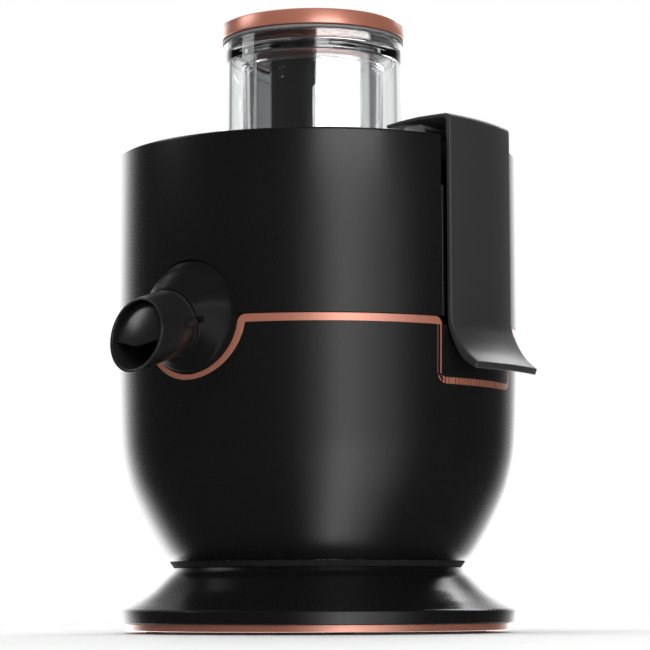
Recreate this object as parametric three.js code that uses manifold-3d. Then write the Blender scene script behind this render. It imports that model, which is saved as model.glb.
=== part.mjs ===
// A centrifugal juicer: a round motor base, a lift-off juice housing with a tilting nozzle,
// a spinning filter basket, a lid with a wide clear feed tube, and a pusher.
// Units are millimetres and +Z is up. The origin is the middle of the base plate's underside.
// The juice nozzle points along -Y and the pulp chute faces +X.

import * as THREE from "three";
import { mergeVertices } from "three/addons/utils/BufferGeometryUtils.js";
import Module from "manifold-3d";

const wasm = await Module();
wasm.setup();

// ---------------------------------------------------------------- driving dimensions

const GAP = 0.3; // clearance between pieces that touch
const ROUND = 36; // sides of the large turned shells
const SMALL_ROUND = 20; // sides of the small turned pieces

const BODY_RADIUS = 118.4;
const WALL = 2.6;
const SEAM_HEIGHT = 174.8; // top of the coloured trim band
const TRIM_WIDTH = 4.4;
const HOUSING_TOP = 278.5;
const FOOT_TOP = 36.2;
const NECK_TOP = 39.8;
const BASE_RING_RADIUS = 113;
const BASE_RING_HEIGHT = 4.1;
const PAD_DROP = 1.5; // how far the rubber feet stand below the base plate

const CHUTE_HALF_WIDTH = 33.1;
const CHUTE_FLOOR = 141.5;
const CHUTE_CORNER = 6;
const CHUTE_TRIM_SIDE = 3.3; // width of the trim band beside the notch
const DUCT_HALF_WIDTH = 30.6; // inside of the pulp duct and tray
const DUCT_WALL = 2;
const DUCT_INNER_X = 95;

const SPOUT_AXIS_HEIGHT = 175.2; // where the nozzle axis leaves the wall
const SPOUT_SLOPE = THREE.MathUtils.degToRad(17.5);
const FLARE_RADIUS = 31.6;
const TRIM_DIP_RADIUS = 32.3;
const NOZZLE_RADIUS = 18.9;
const NOZZLE_BORE = 15.2;
const COLLAR_RADIUS = 17.4; // the sleeve that the nozzle turns on
const SPOUT_TUBE_RADIUS = 18.4; // the tube inside the housing
const INDEX_BAR_TOP = 21.6; // the bars beside the joint stand this far from the nozzle's axis
const COLLAR_DISTANCE = 17.2; // along the nozzle axis from the wall to the fixed collar
const FLARE_END = COLLAR_DISTANCE - 2.4; // where the cone ends and the narrow collar begins
const NOZZLE_LENGTH = 45.5; // along the nozzle axis from the wall to the middle of its end
const NOZZLE_END_TILT = 10; // degrees that the end leans back, so that its lower edge is foremost
const MOUTH_TOP = -4.6; // upper edge of the nozzle's opening, from its axis

const DECK_HEIGHT = 135;
const BOWL_RADIUS = 86.5;
const BOWL_FLOOR = 181;
const PULP_FLOOR = 252; // top flange of the juice bowl, where the pulp is thrown across
const CHIMNEY_RADIUS = 22.5;
const BASKET_FLOOR = 207;
const BASKET_TOP = 250;
const BASKET_BOTTOM_RADIUS = 54;
const BASKET_TOP_RADIUS = 73;
const LID_HEIGHT = 275.5;

const TUBE_OFFSET = -2.5; // the feed tube sits a little away from the chute
const TUBE_TOP = 349.5;
const TUBE_BOTTOM_RADIUS = 55.1;
const TUBE_TOP_RADIUS = 53.8;
const THROAT_RADIUS = 40.3;
const THROAT_END = 220;
const MOUTH_RADIUS = 49.6;
const CAP_TOP = 361;
const CAP_RADIUS = 55.9;

const MOTOR_BOTTOM = 36;
const CORE_BOTTOM = 68;
const CORE_TOP = 106;
const SHAFT_RADIUS = 4;
const COUPLING_BOTTOM = 174;
const COUPLING_TOP = 197;
const BOLT_OFFSET = 45;

const KNOB_HEIGHT = 105;
const CORD_HEIGHT = 60;
const LATCH_PIVOT = { x: -123.6, z: 250 };

// ---------------------------------------------------------------- materials

const paint = (color, roughness, metalness = 0) => ({ color, roughness, metalness });
const GLOSS_BLACK = paint(0x18181a, 0.15);
const SATIN_BLACK = paint(0x2b2b2d, 0.5);
const SATIN_GREY = paint(0x454547, 0.4);
const COPPER = paint(0xd98a6c, 0.28, 0.9);
const CLEAR = paint(0xf2f4f5, 0.05);
const SMOKED = paint(0x202224, 0.12);
const STEEL = paint(0xb9bbbd, 0.3, 1);
const TITANIUM = paint(0x8f8478, 0.3, 1);
const RUBBER = paint(0x161616, 0.9);
const NYLON = paint(0xd8d8d2, 0.6);
const COPPER_WIRE = paint(0xa8552f, 0.4, 0.8);

// ---------------------------------------------------------------- geometry helpers

/** A closed manifold from a three.js geometry. */
function solidOf(geometry) {
  let bare = geometry.index ? geometry.toNonIndexed() : geometry.clone();
  bare.deleteAttribute("normal");
  bare.deleteAttribute("uv");
  bare = mergeVertices(bare, 1e-5);
  const index = bare.index.array;
  const corners = [];
  for (let i = 0; i < index.length; i += 3) {
    const [a, b, c] = [index[i], index[i + 1], index[i + 2]];
    if (a !== b && b !== c && c !== a) corners.push(a, b, c);
  }
  return new wasm.Manifold(
    new wasm.Mesh({
      numProp: 3,
      vertProperties: new Float32Array(bare.attributes.position.array),
      triVerts: new Uint32Array(corners),
    }),
  );
}

/** A three.js geometry from a manifold. */
function geometryOf(solid) {
  const mesh = solid.getMesh();
  const geometry = new THREE.BufferGeometry();
  geometry.setAttribute("position", new THREE.BufferAttribute(mesh.vertProperties, 3));
  geometry.setIndex(new THREE.BufferAttribute(mesh.triVerts, 1));
  geometry.computeVertexNormals();
  return geometry;
}

/** A named mesh with its own material. */
function piece(name, solid, look) {
  const mesh = new THREE.Mesh(geometryOf(solid), new THREE.MeshStandardMaterial(look));
  mesh.name = name;
  return mesh;
}

/** Twice the signed area of an outline of [x, y] points. */
function signedArea(outline) {
  let sum = 0;
  outline.forEach(([x, y], i) => {
    const [nextX, nextY] = outline[(i + 1) % outline.length];
    sum += x * nextY - nextX * y;
  });
  return sum;
}

/** A solid turned about +Z from a closed outline of [radius, height] points. */
function turned(outline, sides = ROUND) {
  const ring = signedArea(outline) > 0 ? outline : [...outline].reverse();
  const points = [...ring, ring[0]].map(([r, z]) => new THREE.Vector2(r, z));
  const geometry = new THREE.LatheGeometry(points, sides);
  return solidOf(geometry.rotateX(Math.PI / 2));
}

/** A disc or a ring between two heights. */
function disc(radius, bottom, top, hole = 0, sides = ROUND) {
  return turned([[hole, bottom], [radius, bottom], [radius, top], [hole, top]], sides);
}

/** A solid extruded along +Z from a closed outline of [x, y] points. */
function extruded(outline, bottom, top) {
  const shape = new THREE.Shape(outline.map(([x, y]) => new THREE.Vector2(x, y)));
  const geometry = new THREE.ExtrudeGeometry(shape, { depth: top - bottom, bevelEnabled: false });
  return solidOf(geometry.translate(0, 0, bottom));
}

/** A box from its lowest and highest corners. */
function block([x0, y0, z0], [x1, y1, z1]) {
  const geometry = new THREE.BoxGeometry(x1 - x0, y1 - y0, z1 - z0);
  return solidOf(geometry.translate((x0 + x1) / 2, (y0 + y1) / 2, (z0 + z1) / 2));
}

/** Turns a solid made along +Z so that it lies along +X, -Y or the sloping spout. */
const alongX = (solid) => solid.rotate([0, 90, 0]);
const alongFront = (solid) => solid.rotate([90, 0, 0]);
const alongSpout = (solid) =>
  alongFront(solid)
    .rotate([THREE.MathUtils.radToDeg(SPOUT_SLOPE), 0, 0])
    .translate([0, -BODY_RADIUS, SPOUT_AXIS_HEIGHT]);

/** The point on an arc about a centre, with the angle in degrees. */
function onCircle(radius, degrees, [x, y] = [0, 0]) {
  const angle = THREE.MathUtils.degToRad(degrees);
  return [x + radius * Math.cos(angle), y + radius * Math.sin(angle)];
}

/** Copies of a solid spaced evenly about +Z. */
function repeated(solid, count) {
  const copies = [];
  for (let i = 0; i < count; i += 1) {
    copies.push(solid.rotate([0, 0, (360 * i) / count]));
  }
  return copies;
}

const union = (solids) => wasm.Manifold.union(solids);

// ---------------------------------------------------------------- body shells

/** Outside of the lower housing, [radius, height], from the neck up to the seam. */
const LOWER_OUTLINE = [
  [87.8, NECK_TOP + GAP], [91.5, 44.3], [98, 55], [104.6, 67.6], [110.1, 80.2],
  [113.6, 92], [116, 104.5], [117.4, 128], [BODY_RADIUS, SEAM_HEIGHT],
];

/** The lower housing's wall as a closed outline, with a ledge for the deck. */
function lowerWallOutline() {
  const inside = LOWER_OUTLINE.slice(1).map(([r, z]) => [r - WALL * (z < 92 ? 1.2 : 1), z]);
  return [...LOWER_OUTLINE, ...inside.reverse(), [LOWER_OUTLINE[0][0] - 3.4, NECK_TOP + GAP]];
}

/** A slot with rounded lower corners, seen along X, that runs out through the wall. */
function chuteCutter(halfWidth, floor, corner, top) {
  const arc = (side) =>
    [0, 30, 60, 90].map((a) => onCircle(corner, a, [halfWidth - corner, corner + floor]))
      .map(([y, z]) => [side * y, 2 * (floor + corner) - z]);
  const outline = [[-halfWidth, top], ...arc(-1), ...arc(1).reverse(), [halfWidth, top]];
  const flat = extruded(outline, 70, 150);
  return flat.rotate([90, 0, 90]);
}

/** Everything above a level, with the dip under the spout and the chute notch. */
function seamCutter(level, dipRadius, halfWidth, floor, corner) {
  const above = disc(150, level, 330);
  const dip = alongFront(disc(dipRadius, 80, 140, 0, 40)).translate([0, 0, SPOUT_AXIS_HEIGHT]);
  return union([above, dip, chuteCutter(halfWidth, floor, corner, level + 20)]);
}

const outerSeam = seamCutter(
  SEAM_HEIGHT - TRIM_WIDTH, TRIM_DIP_RADIUS + TRIM_WIDTH, CHUTE_HALF_WIDTH + CHUTE_TRIM_SIDE,
  CHUTE_FLOOR - TRIM_WIDTH, CHUTE_CORNER,
);
const innerSeam = seamCutter(
  SEAM_HEIGHT, TRIM_DIP_RADIUS, CHUTE_HALF_WIDTH, CHUTE_FLOOR, CHUTE_CORNER - 3,
);
const outerSeamWithGap = seamCutter(
  SEAM_HEIGHT - TRIM_WIDTH - GAP, TRIM_DIP_RADIUS + TRIM_WIDTH + GAP,
  CHUTE_HALF_WIDTH + CHUTE_TRIM_SIDE + GAP, CHUTE_FLOOR - TRIM_WIDTH - GAP, CHUTE_CORNER,
);

function lowerHousing() {
  const ledge = disc(115.6, 128, 131.7, 109);
  const floor = disc(86, 41, 44, 70);
  const knobHole = alongX(disc(5.4, -150, -100, 0, 16)).translate([0, 0, KNOB_HEIGHT]);
  const cordHole = alongFront(disc(5.6, -112, -84, 0, 16)).translate([0, 0, CORD_HEIGHT]);
  return turned(lowerWallOutline())
    .add(ledge)
    .add(floor)
    .subtract(union([knobHole, cordHole, outerSeamWithGap]));
}

function copperTrim() {
  return turned(lowerWallOutline()).intersect(outerSeam).subtract(innerSeam);
}

/** Two ears on the wall that carry the latch's pin, with the pin's hole. */
function latchEars() {
  const { x, z } = LATCH_PIVOT;
  const ear = block([x - 4, 0, z - 5], [-117, 3, z + 5]);
  const hole = alongFront(disc(1.9, -20, 20, 0, 16)).translate([x, 0, z]);
  return union([ear.translate([0, 9.3, 0]), ear.translate([0, -12.3, 0])]).subtract(hole);
}

function upperHousing() {
  const bottom = SEAM_HEIGHT + 0.4;
  const wall = turned([
    [BODY_RADIUS - 2.9, bottom], [BODY_RADIUS, bottom], [BODY_RADIUS, HOUSING_TOP - 1],
    [BODY_RADIUS - 1, HOUSING_TOP], [BODY_RADIUS - 2.9, HOUSING_TOP],
  ]);
  const spoutHole = alongFront(disc(FLARE_RADIUS + 0.4, 80, 140, 0, 32))
    .translate([0, 0, SPOUT_AXIS_HEIGHT]);
  const slot = chuteCutter(CHUTE_HALF_WIDTH, 100, 3, 300);
  return wall.add(latchEars()).subtract(union([spoutHole, slot]));
}

// ---------------------------------------------------------------- base

/** The flared foot, with the narrow neck that the lower housing stands on. */
function foot() {
  return turned([
    [87.2, NECK_TOP], [84.6, FOOT_TOP], [87, 33.2], [90.1, 30.3], [98.9, 21.8], [106, 17],
    [115.2, 12.4], [116.4, 11.2],
    [115.4, BASE_RING_HEIGHT + GAP], [105, BASE_RING_HEIGHT + GAP], [105, 9], [112, 10.4],
    [104.4, 14.8], [97, 19.8], [88.4, 28], [82, FOOT_TOP], [82, NECK_TOP],
  ]);
}

function baseRing() {
  const outer = BASE_RING_RADIUS;
  return turned([
    [105.2, 0.1], [outer - 0.6, 0.1], [outer, 0.7], [outer, BASE_RING_HEIGHT],
    [105.2, BASE_RING_HEIGHT],
  ]);
}

const PAD_CIRCLE = 92;
const SCREW_CIRCLE = 74;

/** The middle of each of the four pads or screws, a quarter turn apart. */
function quarterPoints(radius, start) {
  return [0, 1, 2, 3].map((i) => onCircle(radius, start + 90 * i));
}

function basePlate() {
  const pockets = quarterPoints(PAD_CIRCLE, 45)
    .map(([x, y]) => disc(9.3, -1, 1.7, 0, 12).translate([x, y, 0]));
  const screwHoles = quarterPoints(SCREW_CIRCLE, 0)
    .map(([x, y]) => disc(2.4, -1, 5, 0, 8).translate([x, y, 0]));
  const vents = repeated(block([34, -2, -1], [60, 2, 5]).rotate([0, 0, 15]), 12);
  return disc(104.8, 0, 3).subtract(union([...pockets, ...screwHoles, ...vents]));
}

const rubberPad = () => turned([[0, 0], [8.2, 0], [9, 0.8], [9, 3], [0, 3]], 12);

/** A pan-head screw that rises through the base plate into the foot. */
const baseScrew = () => turned([[0, 0], [2, 0], [2, 7], [4, 7], [4, 9.2], [0, 9.2]], 8);

function deck() {
  const dome = turned([
    [12.4, 165], [19, 168], [30, 150], [44, DECK_HEIGHT], [113.6, DECK_HEIGHT], [113.6, 132],
    [42.6, 132], [27.8, 148], [17.4, 164.5], [12.4, 162],
  ]);
  const post = disc(5, 127.3, 133, 0, 16).translate([46, 0, 0]).rotate([0, 0, 45]);
  return union([dome, ...repeated(post, 4)]);
}

const shaftSeal = () =>
  turned([[4.4, 160], [12, 160], [12, 167.4], [8, 169.5], [4.4, 169.5]], SMALL_ROUND);

/** A U-shaped wall, open towards +X, that runs from one height to another. */
function ductWall(outerX, bottom, top) {
  const side = DUCT_HALF_WIDTH + DUCT_WALL;
  const outside = block([DUCT_INNER_X - DUCT_WALL, -side, bottom], [outerX, side, top]);
  return outside.subtract(
    block([DUCT_INNER_X, -DUCT_HALF_WIDTH, bottom - 1], [outerX + 1, DUCT_HALF_WIDTH, top + 1]));
}

/** The open tray behind the chute notch, which hands the pulp outwards. */
function pulpTray() {
  const [bottom, outerX] = [DECK_HEIGHT + 2, 113.4];
  const floor = block(
    [DUCT_INNER_X - 1, -DUCT_HALF_WIDTH - 1, bottom], [outerX, DUCT_HALF_WIDTH + 1, bottom + 2.5]);
  return ductWall(outerX, bottom, SEAM_HEIGHT - 1.2).add(floor).intersect(disc(114.2, 100, 200));
}

// ---------------------------------------------------------------- motor

/** The two holes for the bolts that clamp the motor together. */
const boltHoles = () =>
  [-1, 1].map((side) => disc(2.4, 0, 140, 0, 8).translate([side * BOLT_OFFSET, 0, 0]));

function motorBracket(plateBottom, hubBottom, hubTop) {
  const plate = disc(54, plateBottom, plateBottom + 3, 11.4, SMALL_ROUND);
  const hub = disc(14, hubBottom, hubTop, 11.4, SMALL_ROUND);
  const window = block([20, -8, plateBottom - 1], [40, 8, plateBottom + 4]).rotate([0, 0, 45]);
  return plate.add(hub).subtract(union([...repeated(window, 4), ...boltHoles()]));
}

const bearing = (bottom) => disc(11, bottom, bottom + 7, SHAFT_RADIUS + 0.4, SMALL_ROUND);

function stator() {
  const yoke = disc(54, CORE_BOTTOM, CORE_TOP, 24.4)
    .intersect(block([-50, -50, 0], [50, 50, 200]));
  const slots = [];
  for (const x of [-1, 1]) {
    for (const y of [-1, 1]) {
      const slot = block([25.6, 22.1, 0], [36.4, 34.4, 200]);
      slots.push(slot.scale([x, y, 1]));
    }
  }
  return yoke.subtract(union([...slots, ...boltHoles()]));
}

/** A rectangular loop of wire round one pole, passing through the stator's slots. */
function fieldCoil(side) {
  const loop = block([-36, 22.5, 58], [36, 34, 116])
    .subtract(block([-26, 20, CORE_BOTTOM - GAP], [26, 36, CORE_TOP + GAP]));
  return loop.scale([1, side, 1]);
}

/** A bolt through both brackets and the stator, with its head at the bottom. */
function motorBolt() {
  const [head, neck, end] = [MOTOR_BOTTOM - 1, MOTOR_BOTTOM + 2.6, 131];
  return turned([[0, head], [4, head], [4, neck], [2, neck], [2, end], [0, end]], 8);
}

function motorShaft() {
  return disc(SHAFT_RADIUS, 17, COUPLING_TOP - 6, 0, SMALL_ROUND);
}

function armature() {
  const slots = repeated(block([19, -1.2, 0], [30, 1.2, 200]), 12);
  return disc(23.6, CORE_BOTTOM, CORE_TOP, SHAFT_RADIUS + GAP, ROUND).subtract(union(slots));
}

const winding = (bottom, top) =>
  turned([
    [SHAFT_RADIUS + 2, bottom], [18, bottom], [20, bottom + 3], [20, top - 3], [18, top],
    [SHAFT_RADIUS + 2, top],
  ], SMALL_ROUND);

function commutator() {
  const cuts = repeated(block([10.6, -0.4, 0], [20, 0.4, 200]), 12);
  return disc(12, 44, 55.6, SHAFT_RADIUS + GAP, SMALL_ROUND).subtract(union(cuts));
}

/** A brush in its box, reaching in to the commutator. */
function brushHolder(side) {
  const box = block([16, -5.5, 45], [38, 5.5, 55]);
  const carbon = block([12.6, -3.5, 47], [17, 3.5, 53]);
  return box.add(carbon).scale([side, 1, 1]);
}

function coolingFan() {
  const blades = repeated(block([14, -1, 20], [50, 1, 31]), 11);
  const plate = disc(50, 18, 20.5, SHAFT_RADIUS + GAP, SMALL_ROUND);
  const hub = disc(15, 18, 31, SHAFT_RADIUS + GAP, SMALL_ROUND);
  return union([plate, hub, ...blades]);
}

/** A star of six lobes, which drives the basket. */
function star(radius, lobe, bottom, top) {
  const core = disc(radius, bottom, top, 0, SMALL_ROUND);
  const lobes = repeated(disc(lobe, bottom, top, 0, 8).translate([radius, 0, 0]), 6);
  return union([core, ...lobes]);
}

function driveCoupling() {
  const drum = star(11, 2.6, COUPLING_BOTTOM, COUPLING_TOP);
  return drum.subtract(disc(SHAFT_RADIUS + GAP, 0, COUPLING_TOP - 5, 0, SMALL_ROUND));
}

// ---------------------------------------------------------------- controls and latch

function speedSwitch() {
  return block([-106, -13, 92], [-78, 13, 118]);
}

function knob() {
  const grip = turned([
    [0, 119.2], [17, 119.2], [18.4, 120.6], [17.6, 128], [16, 129.6], [0, 129.6],
  ], SMALL_ROUND);
  const shaft = disc(4.6, 106.6, 120, 0, SMALL_ROUND);
  const ridge = block([-2, -16, 122], [2, 16, 132]);
  return alongX(grip.add(shaft).add(ridge)).scale([-1, 1, 1]).translate([0, 0, KNOB_HEIGHT]);
}

/** The bush that the power cord comes out of, at the back. */
function cordGland() {
  const outline = [[3.6, 86], [5, 86], [5, 106], [9, 106], [9, 108.6], [6.4, 117], [3.6, 117]];
  return turned(outline, 16).rotate([-90, 0, 0]).translate([0, 0, CORD_HEIGHT]);
}

/** The clip that reaches over the housing's rim to the lid's edge, with a thumb tab outside. */
function latchLever() {
  const { x, z } = LATCH_PIVOT;
  const top = HOUSING_TOP + 5;
  const outline = [
    [x - 3, z - 3], [x - 1, z - 4.4], [x + 2, z - 3.8], [x + 4.2, z + 4],
    [-119.4, HOUSING_TOP + 0.8], [-115.2, HOUSING_TOP + 0.8], [-115.2, top - 0.8], [-116.4, top],
    [x - 1, top], [x - 3, top - 3], [x - 6.4, top - 12], [x - 7.4, top - 19], [x - 5.6, top - 19],
    [x - 3, top - 13],
  ];
  const lever = extruded(outline, -9, 9).rotate([90, 0, 0]);
  const pinHole = alongFront(disc(1.9, -20, 20, 0, 12)).translate([x, 0, z]);
  return lever.subtract(pinHole);
}

const latchPin = () =>
  alongFront(disc(1.6, -12.2, 12.2, 0, 8)).translate([LATCH_PIVOT.x, 0, LATCH_PIVOT.z]);

// ---------------------------------------------------------------- juice housing

/** The room that the spout's tube takes through the bowl's floor and wall. */
const spoutSleeve = () => alongSpout(disc(SPOUT_TUBE_RADIUS + GAP, -41, 8, 0, SMALL_ROUND));

/** The bowl's floor, a flat ring round the chimney. */
const bowlFloor = () =>
  disc(BOWL_RADIUS, BOWL_FLOOR - 3, BOWL_FLOOR, CHIMNEY_RADIUS + GAP).subtract(spoutSleeve());

/** The tube in the middle of the bowl that keeps the juice away from the drive. */
const bowlChimney = () => disc(CHIMNEY_RADIUS, BOWL_FLOOR - 3, 196, CHIMNEY_RADIUS - 2.5);

/** The wall that the juice runs down, with the spout's opening. */
const bowlWall = () =>
  disc(BOWL_RADIUS, BOWL_FLOOR + GAP, PULP_FLOOR - 2.5 - GAP, BOWL_RADIUS - 2.5)
    .subtract(spoutSleeve());

/** The ring at the top of the bowl, cut away over the pulp duct. */
function bowlFlange() {
  const duct = block([DUCT_INNER_X, -DUCT_HALF_WIDTH, 200], [130, DUCT_HALF_WIDTH, 300]);
  return disc(115, PULP_FLOOR - 2.5, PULP_FLOOR, BOWL_RADIUS - 2.5).subtract(duct);
}

/** The tube that leads the juice from the bowl's wall to the nozzle. */
function bowlSpout() {
  const insideBowl = disc(BOWL_RADIUS - 2.5, BOWL_FLOOR, 240);
  return alongSpout(disc(SPOUT_TUBE_RADIUS, -36, 4, NOZZLE_BORE, SMALL_ROUND))
    .subtract(insideBowl)
    .intersect(disc(114.4, 100, 300));
}

/** The U-shaped shaft that leads the pulp down from the bowl's flange. */
function pulpDuct() {
  return ductWall(114, SEAM_HEIGHT + 0.6, PULP_FLOOR - 2.8);
}

/** A solid through rings of equal point counts, closed at both ends. */
function lofted(rings) {
  const count = rings[0].length;
  const corners = [];
  const quad = (a, b, c, d) => corners.push(...a, ...b, ...c, ...a, ...c, ...d);
  for (let i = 0; i + 1 < rings.length; i += 1) {
    for (let j = 0; j < count; j += 1) {
      const k = (j + 1) % count;
      quad(rings[i][j], rings[i][k], rings[i + 1][k], rings[i + 1][j]);
    }
  }
  const fan = (ring, forward) => {
    for (let j = 1; j + 1 < count; j += 1) {
      const pair = forward ? [ring[j], ring[j + 1]] : [ring[j + 1], ring[j]];
      corners.push(...ring[0], ...pair[0], ...pair[1]);
    }
  };
  fan(rings[0], false);
  fan(rings[rings.length - 1], true);
  const geometry = new THREE.BufferGeometry();
  geometry.setAttribute("position", new THREE.Float32BufferAttribute(corners, 3));
  return solidOf(geometry);
}

/** A ring about a point of the spout, tilted by a share of the spout's slope. */
function spoutRing(distance, radius, tilt, sides = 32) {
  const out = -BODY_RADIUS - distance * Math.cos(SPOUT_SLOPE);
  const drop = Math.max(0, distance) * Math.sin(SPOUT_SLOPE);
  const centre = new THREE.Vector3(0, out, SPOUT_AXIS_HEIGHT - drop);
  const ring = [];
  for (let i = 0; i < sides; i += 1) {
    const angle = (2 * Math.PI * i) / sides;
    const point = new THREE.Vector3(radius * Math.cos(angle), 0, radius * Math.sin(angle));
    point.applyAxisAngle(new THREE.Vector3(1, 0, 0), SPOUT_SLOPE * tilt);
    point.add(centre);
    ring.push(point.toArray());
  }
  return ring;
}

/** A round bar of the given radius along the spout's axis. */
const spoutBar = (radius, start, end, sides = SMALL_ROUND) =>
  alongSpout(disc(radius, start, end, 0, sides));

function spoutFlare() {
  const profile = [
    [-3.2, FLARE_RADIUS, 0], [1, FLARE_RADIUS - 0.8, 0], [5, FLARE_RADIUS - 3, 0.2],
    [9, FLARE_RADIUS - 7, 0.5], [13, 20.6, 0.8], [FLARE_END, 19.2, 1],
  ];
  const cone = lofted(profile.map(([distance, radius, tilt]) => spoutRing(distance, radius, tilt)));
  const collar = spoutBar(COLLAR_RADIUS, 10, COLLAR_DISTANCE + 5)
    .add(spoutBar(SPOUT_TUBE_RADIUS, 10, COLLAR_DISTANCE));
  const bar = alongSpout(block([17, -2.5, 9], [INDEX_BAR_TOP, 2.5, FLARE_END]));
  const bore = spoutBar(NOZZLE_BORE, -41, 60);
  return union([cone, collar, bar]).subtract(bore).subtract(disc(115.2, 100, 240));
}

/** The nozzle that turns on the collar. A plate closes its end except for the lower part. */
function nozzle() {
  const start = COLLAR_DISTANCE + GAP;
  const endY = -BODY_RADIUS - NOZZLE_LENGTH * Math.cos(SPOUT_SLOPE);
  const endZ = SPOUT_AXIS_HEIGHT - NOZZLE_LENGTH * Math.sin(SPOUT_SLOPE);
  const leaning = (solid) => solid.rotate([-NOZZLE_END_TILT, 0, 0]).translate([0, endY, endZ]);
  const tube = spoutBar(NOZZLE_RADIUS, start, 75, 28);
  const bar = alongSpout(block([18.2, -2.5, start], [INDEX_BAR_TOP, 2.5, start + 9]));
  const socket = spoutBar(COLLAR_RADIUS + 0.6, 0, COLLAR_DISTANCE + 5.6);
  const beyond = leaning(block([-50, -70, -70], [50, 0, 70]));
  const behindPlate = leaning(block([-50, 2.5, -70], [50, 90, 70]));
  const hollow = spoutBar(NOZZLE_BORE, 0, 75).intersect(behindPlate);
  const mouth = spoutBar(NOZZLE_BORE, 30, 75)
    .intersect(block([-30, endY - 30, 100], [30, endY + 12, endZ + MOUTH_TOP]));
  return union([tube, bar]).subtract(union([socket, beyond, hollow, mouth]));
}

// ---------------------------------------------------------------- filter basket

/** The basket's radius at a height. */
function basketRadius(height) {
  const share = (height - BASKET_FLOOR) / (BASKET_TOP - BASKET_FLOOR);
  return BASKET_BOTTOM_RADIUS + share * (BASKET_TOP_RADIUS - BASKET_BOTTOM_RADIUS);
}

function filterMesh() {
  const bottom = BASKET_FLOOR + GAP;
  const top = BASKET_TOP - GAP;
  const cone = turned([
    [basketRadius(bottom) - 0.8, bottom], [basketRadius(bottom), bottom],
    [basketRadius(top), top], [basketRadius(top) - 0.8, top],
  ]);
  const slots = [213, 231].flatMap((z) =>
    repeated(block([45, -3, z], [90, 3, z + 14]).rotate([0, 0, 5]), 18));
  return cone.subtract(union(slots));
}

function filterHub() {
  return turned([
    [25, 186], [27.5, 186], [27.5, BASKET_FLOOR - 3], [BASKET_BOTTOM_RADIUS, BASKET_FLOOR - 3],
    [BASKET_BOTTOM_RADIUS, BASKET_FLOOR], [18.6, BASKET_FLOOR], [18.6, BASKET_FLOOR - 3],
    [25, BASKET_FLOOR - 3],
  ]);
}

function driveSocket() {
  const body = disc(18.2, 186, BASKET_FLOOR, 0, SMALL_ROUND);
  return body.subtract(star(11.6, 2.8, 180, COUPLING_TOP + 2));
}

const filterRim = () =>
  turned([
    [BASKET_TOP_RADIUS - 0.8, BASKET_TOP], [76, BASKET_TOP], [78, 253], [78, 256], [75, 256],
  ]);

/** The cutting disc with rings of small raised teeth. */
function gratingDisc() {
  const bottom = BASKET_FLOOR + GAP;
  const top = bottom + 1.6;
  const teeth = [20, 32, 44].flatMap((radius, ring) => {
    const tooth = block([radius - 1.6, -0.8, top - 0.4], [radius + 1.6, 0.8, top + 1.2]);
    return repeated(tooth.rotate([0, 0, 9 * ring]), 8 + 4 * ring);
  });
  const boss = turned(
    [[0, bottom], [9, bottom], [9, top + 1], [5, top + 2], [0, top + 2]], SMALL_ROUND);
  return union([disc(51, bottom, top), boss, ...teeth]);
}

// ---------------------------------------------------------------- lid and pusher

const CHUTE_HOOD = { innerX: 84, outerX: 104, halfWidth: 29 };

function lid() {
  const bottom = LID_HEIGHT - 3;
  const plate = turned([
    [44, bottom], [112, bottom], [112, 264], [114.6, 264], [114.6, LID_HEIGHT + 1.5],
    [111, LID_HEIGHT + 1.5], [104, LID_HEIGHT], [44, LID_HEIGHT],
  ]);
  const tubeHole = disc(43.2, 200, 300).translate([TUBE_OFFSET, 0, 0]);
  const { innerX, outerX, halfWidth } = CHUTE_HOOD;
  const hood = block([innerX, -halfWidth, LID_HEIGHT - 2], [outerX, halfWidth, 286]);
  const hollow = block([innerX + 2, 2 - halfWidth, 200], [outerX + 20, halfWidth - 2, 284]);
  const skirtGap = block([outerX, -30.4, 200], [130, 30.4, 300]);
  return plate.subtract(tubeHole).add(hood).subtract(hollow).subtract(skirtGap);
}

/** The seal under the lid, open where the pulp leaves. */
const lidSeal = () =>
  disc(111.6, 268.4, 272.2, 108.6).subtract(block([90, -33, 260], [120, 33, 280]));

function feedTube() {
  const wall = 5.2;
  return turned([
    [TUBE_BOTTOM_RADIUS - wall, LID_HEIGHT + GAP], [60, LID_HEIGHT + GAP], [60, 278.6],
    [TUBE_BOTTOM_RADIUS + 0.2, 280], [TUBE_TOP_RADIUS, TUBE_TOP], [MOUTH_RADIUS, TUBE_TOP],
    [MOUTH_RADIUS, TUBE_TOP - 5], [THROAT_RADIUS, TUBE_TOP - 12], [THROAT_RADIUS, THROAT_END],
    [THROAT_RADIUS + 2, THROAT_END], [THROAT_RADIUS + 2, TUBE_TOP - 16],
    [TUBE_TOP_RADIUS - wall, TUBE_TOP - 10],
  ]).translate([TUBE_OFFSET, 0, 0]);
}

/** A sector about +X, used to keep only the chute's share of a turned solid. */
function chuteSector(halfAngle) {
  return extruded([[0, 0], onCircle(220, -halfAngle), onCircle(220, halfAngle)], 100, 320);
}

function chuteCover() {
  const lip = [
    [122, 174], [124.3, 167.5], [128, 159], [132.3, 153.6], [138.6, 148.4],
    [138.8, 144.6], [135.6, 145], [129, 150], [124.6, 157], [121, 166], [119, 174],
  ];
  const curved = turned([[122, 288.6], ...lip, [119, 290.6], [121, 290.6]], 96)
    .intersect(chuteSector(14.5));
  const roof = extruded([[79, -31], [79, 31], [115, 31], [115, -31]], 0, 2)
    .translate([0, 0, 287.2]);
  const top = disc(121, 287.2, 290.6, 0, 96).intersect(chuteSector(14.5))
    .intersect(block([100, -40, 280], [130, 40, 295]));
  const lidTie = block([CHUTE_HOOD.outerX - 8, -20, 286.3], [CHUTE_HOOD.outerX, 20, 288]);
  return union([curved, roof, top, lidTie]);
}

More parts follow.
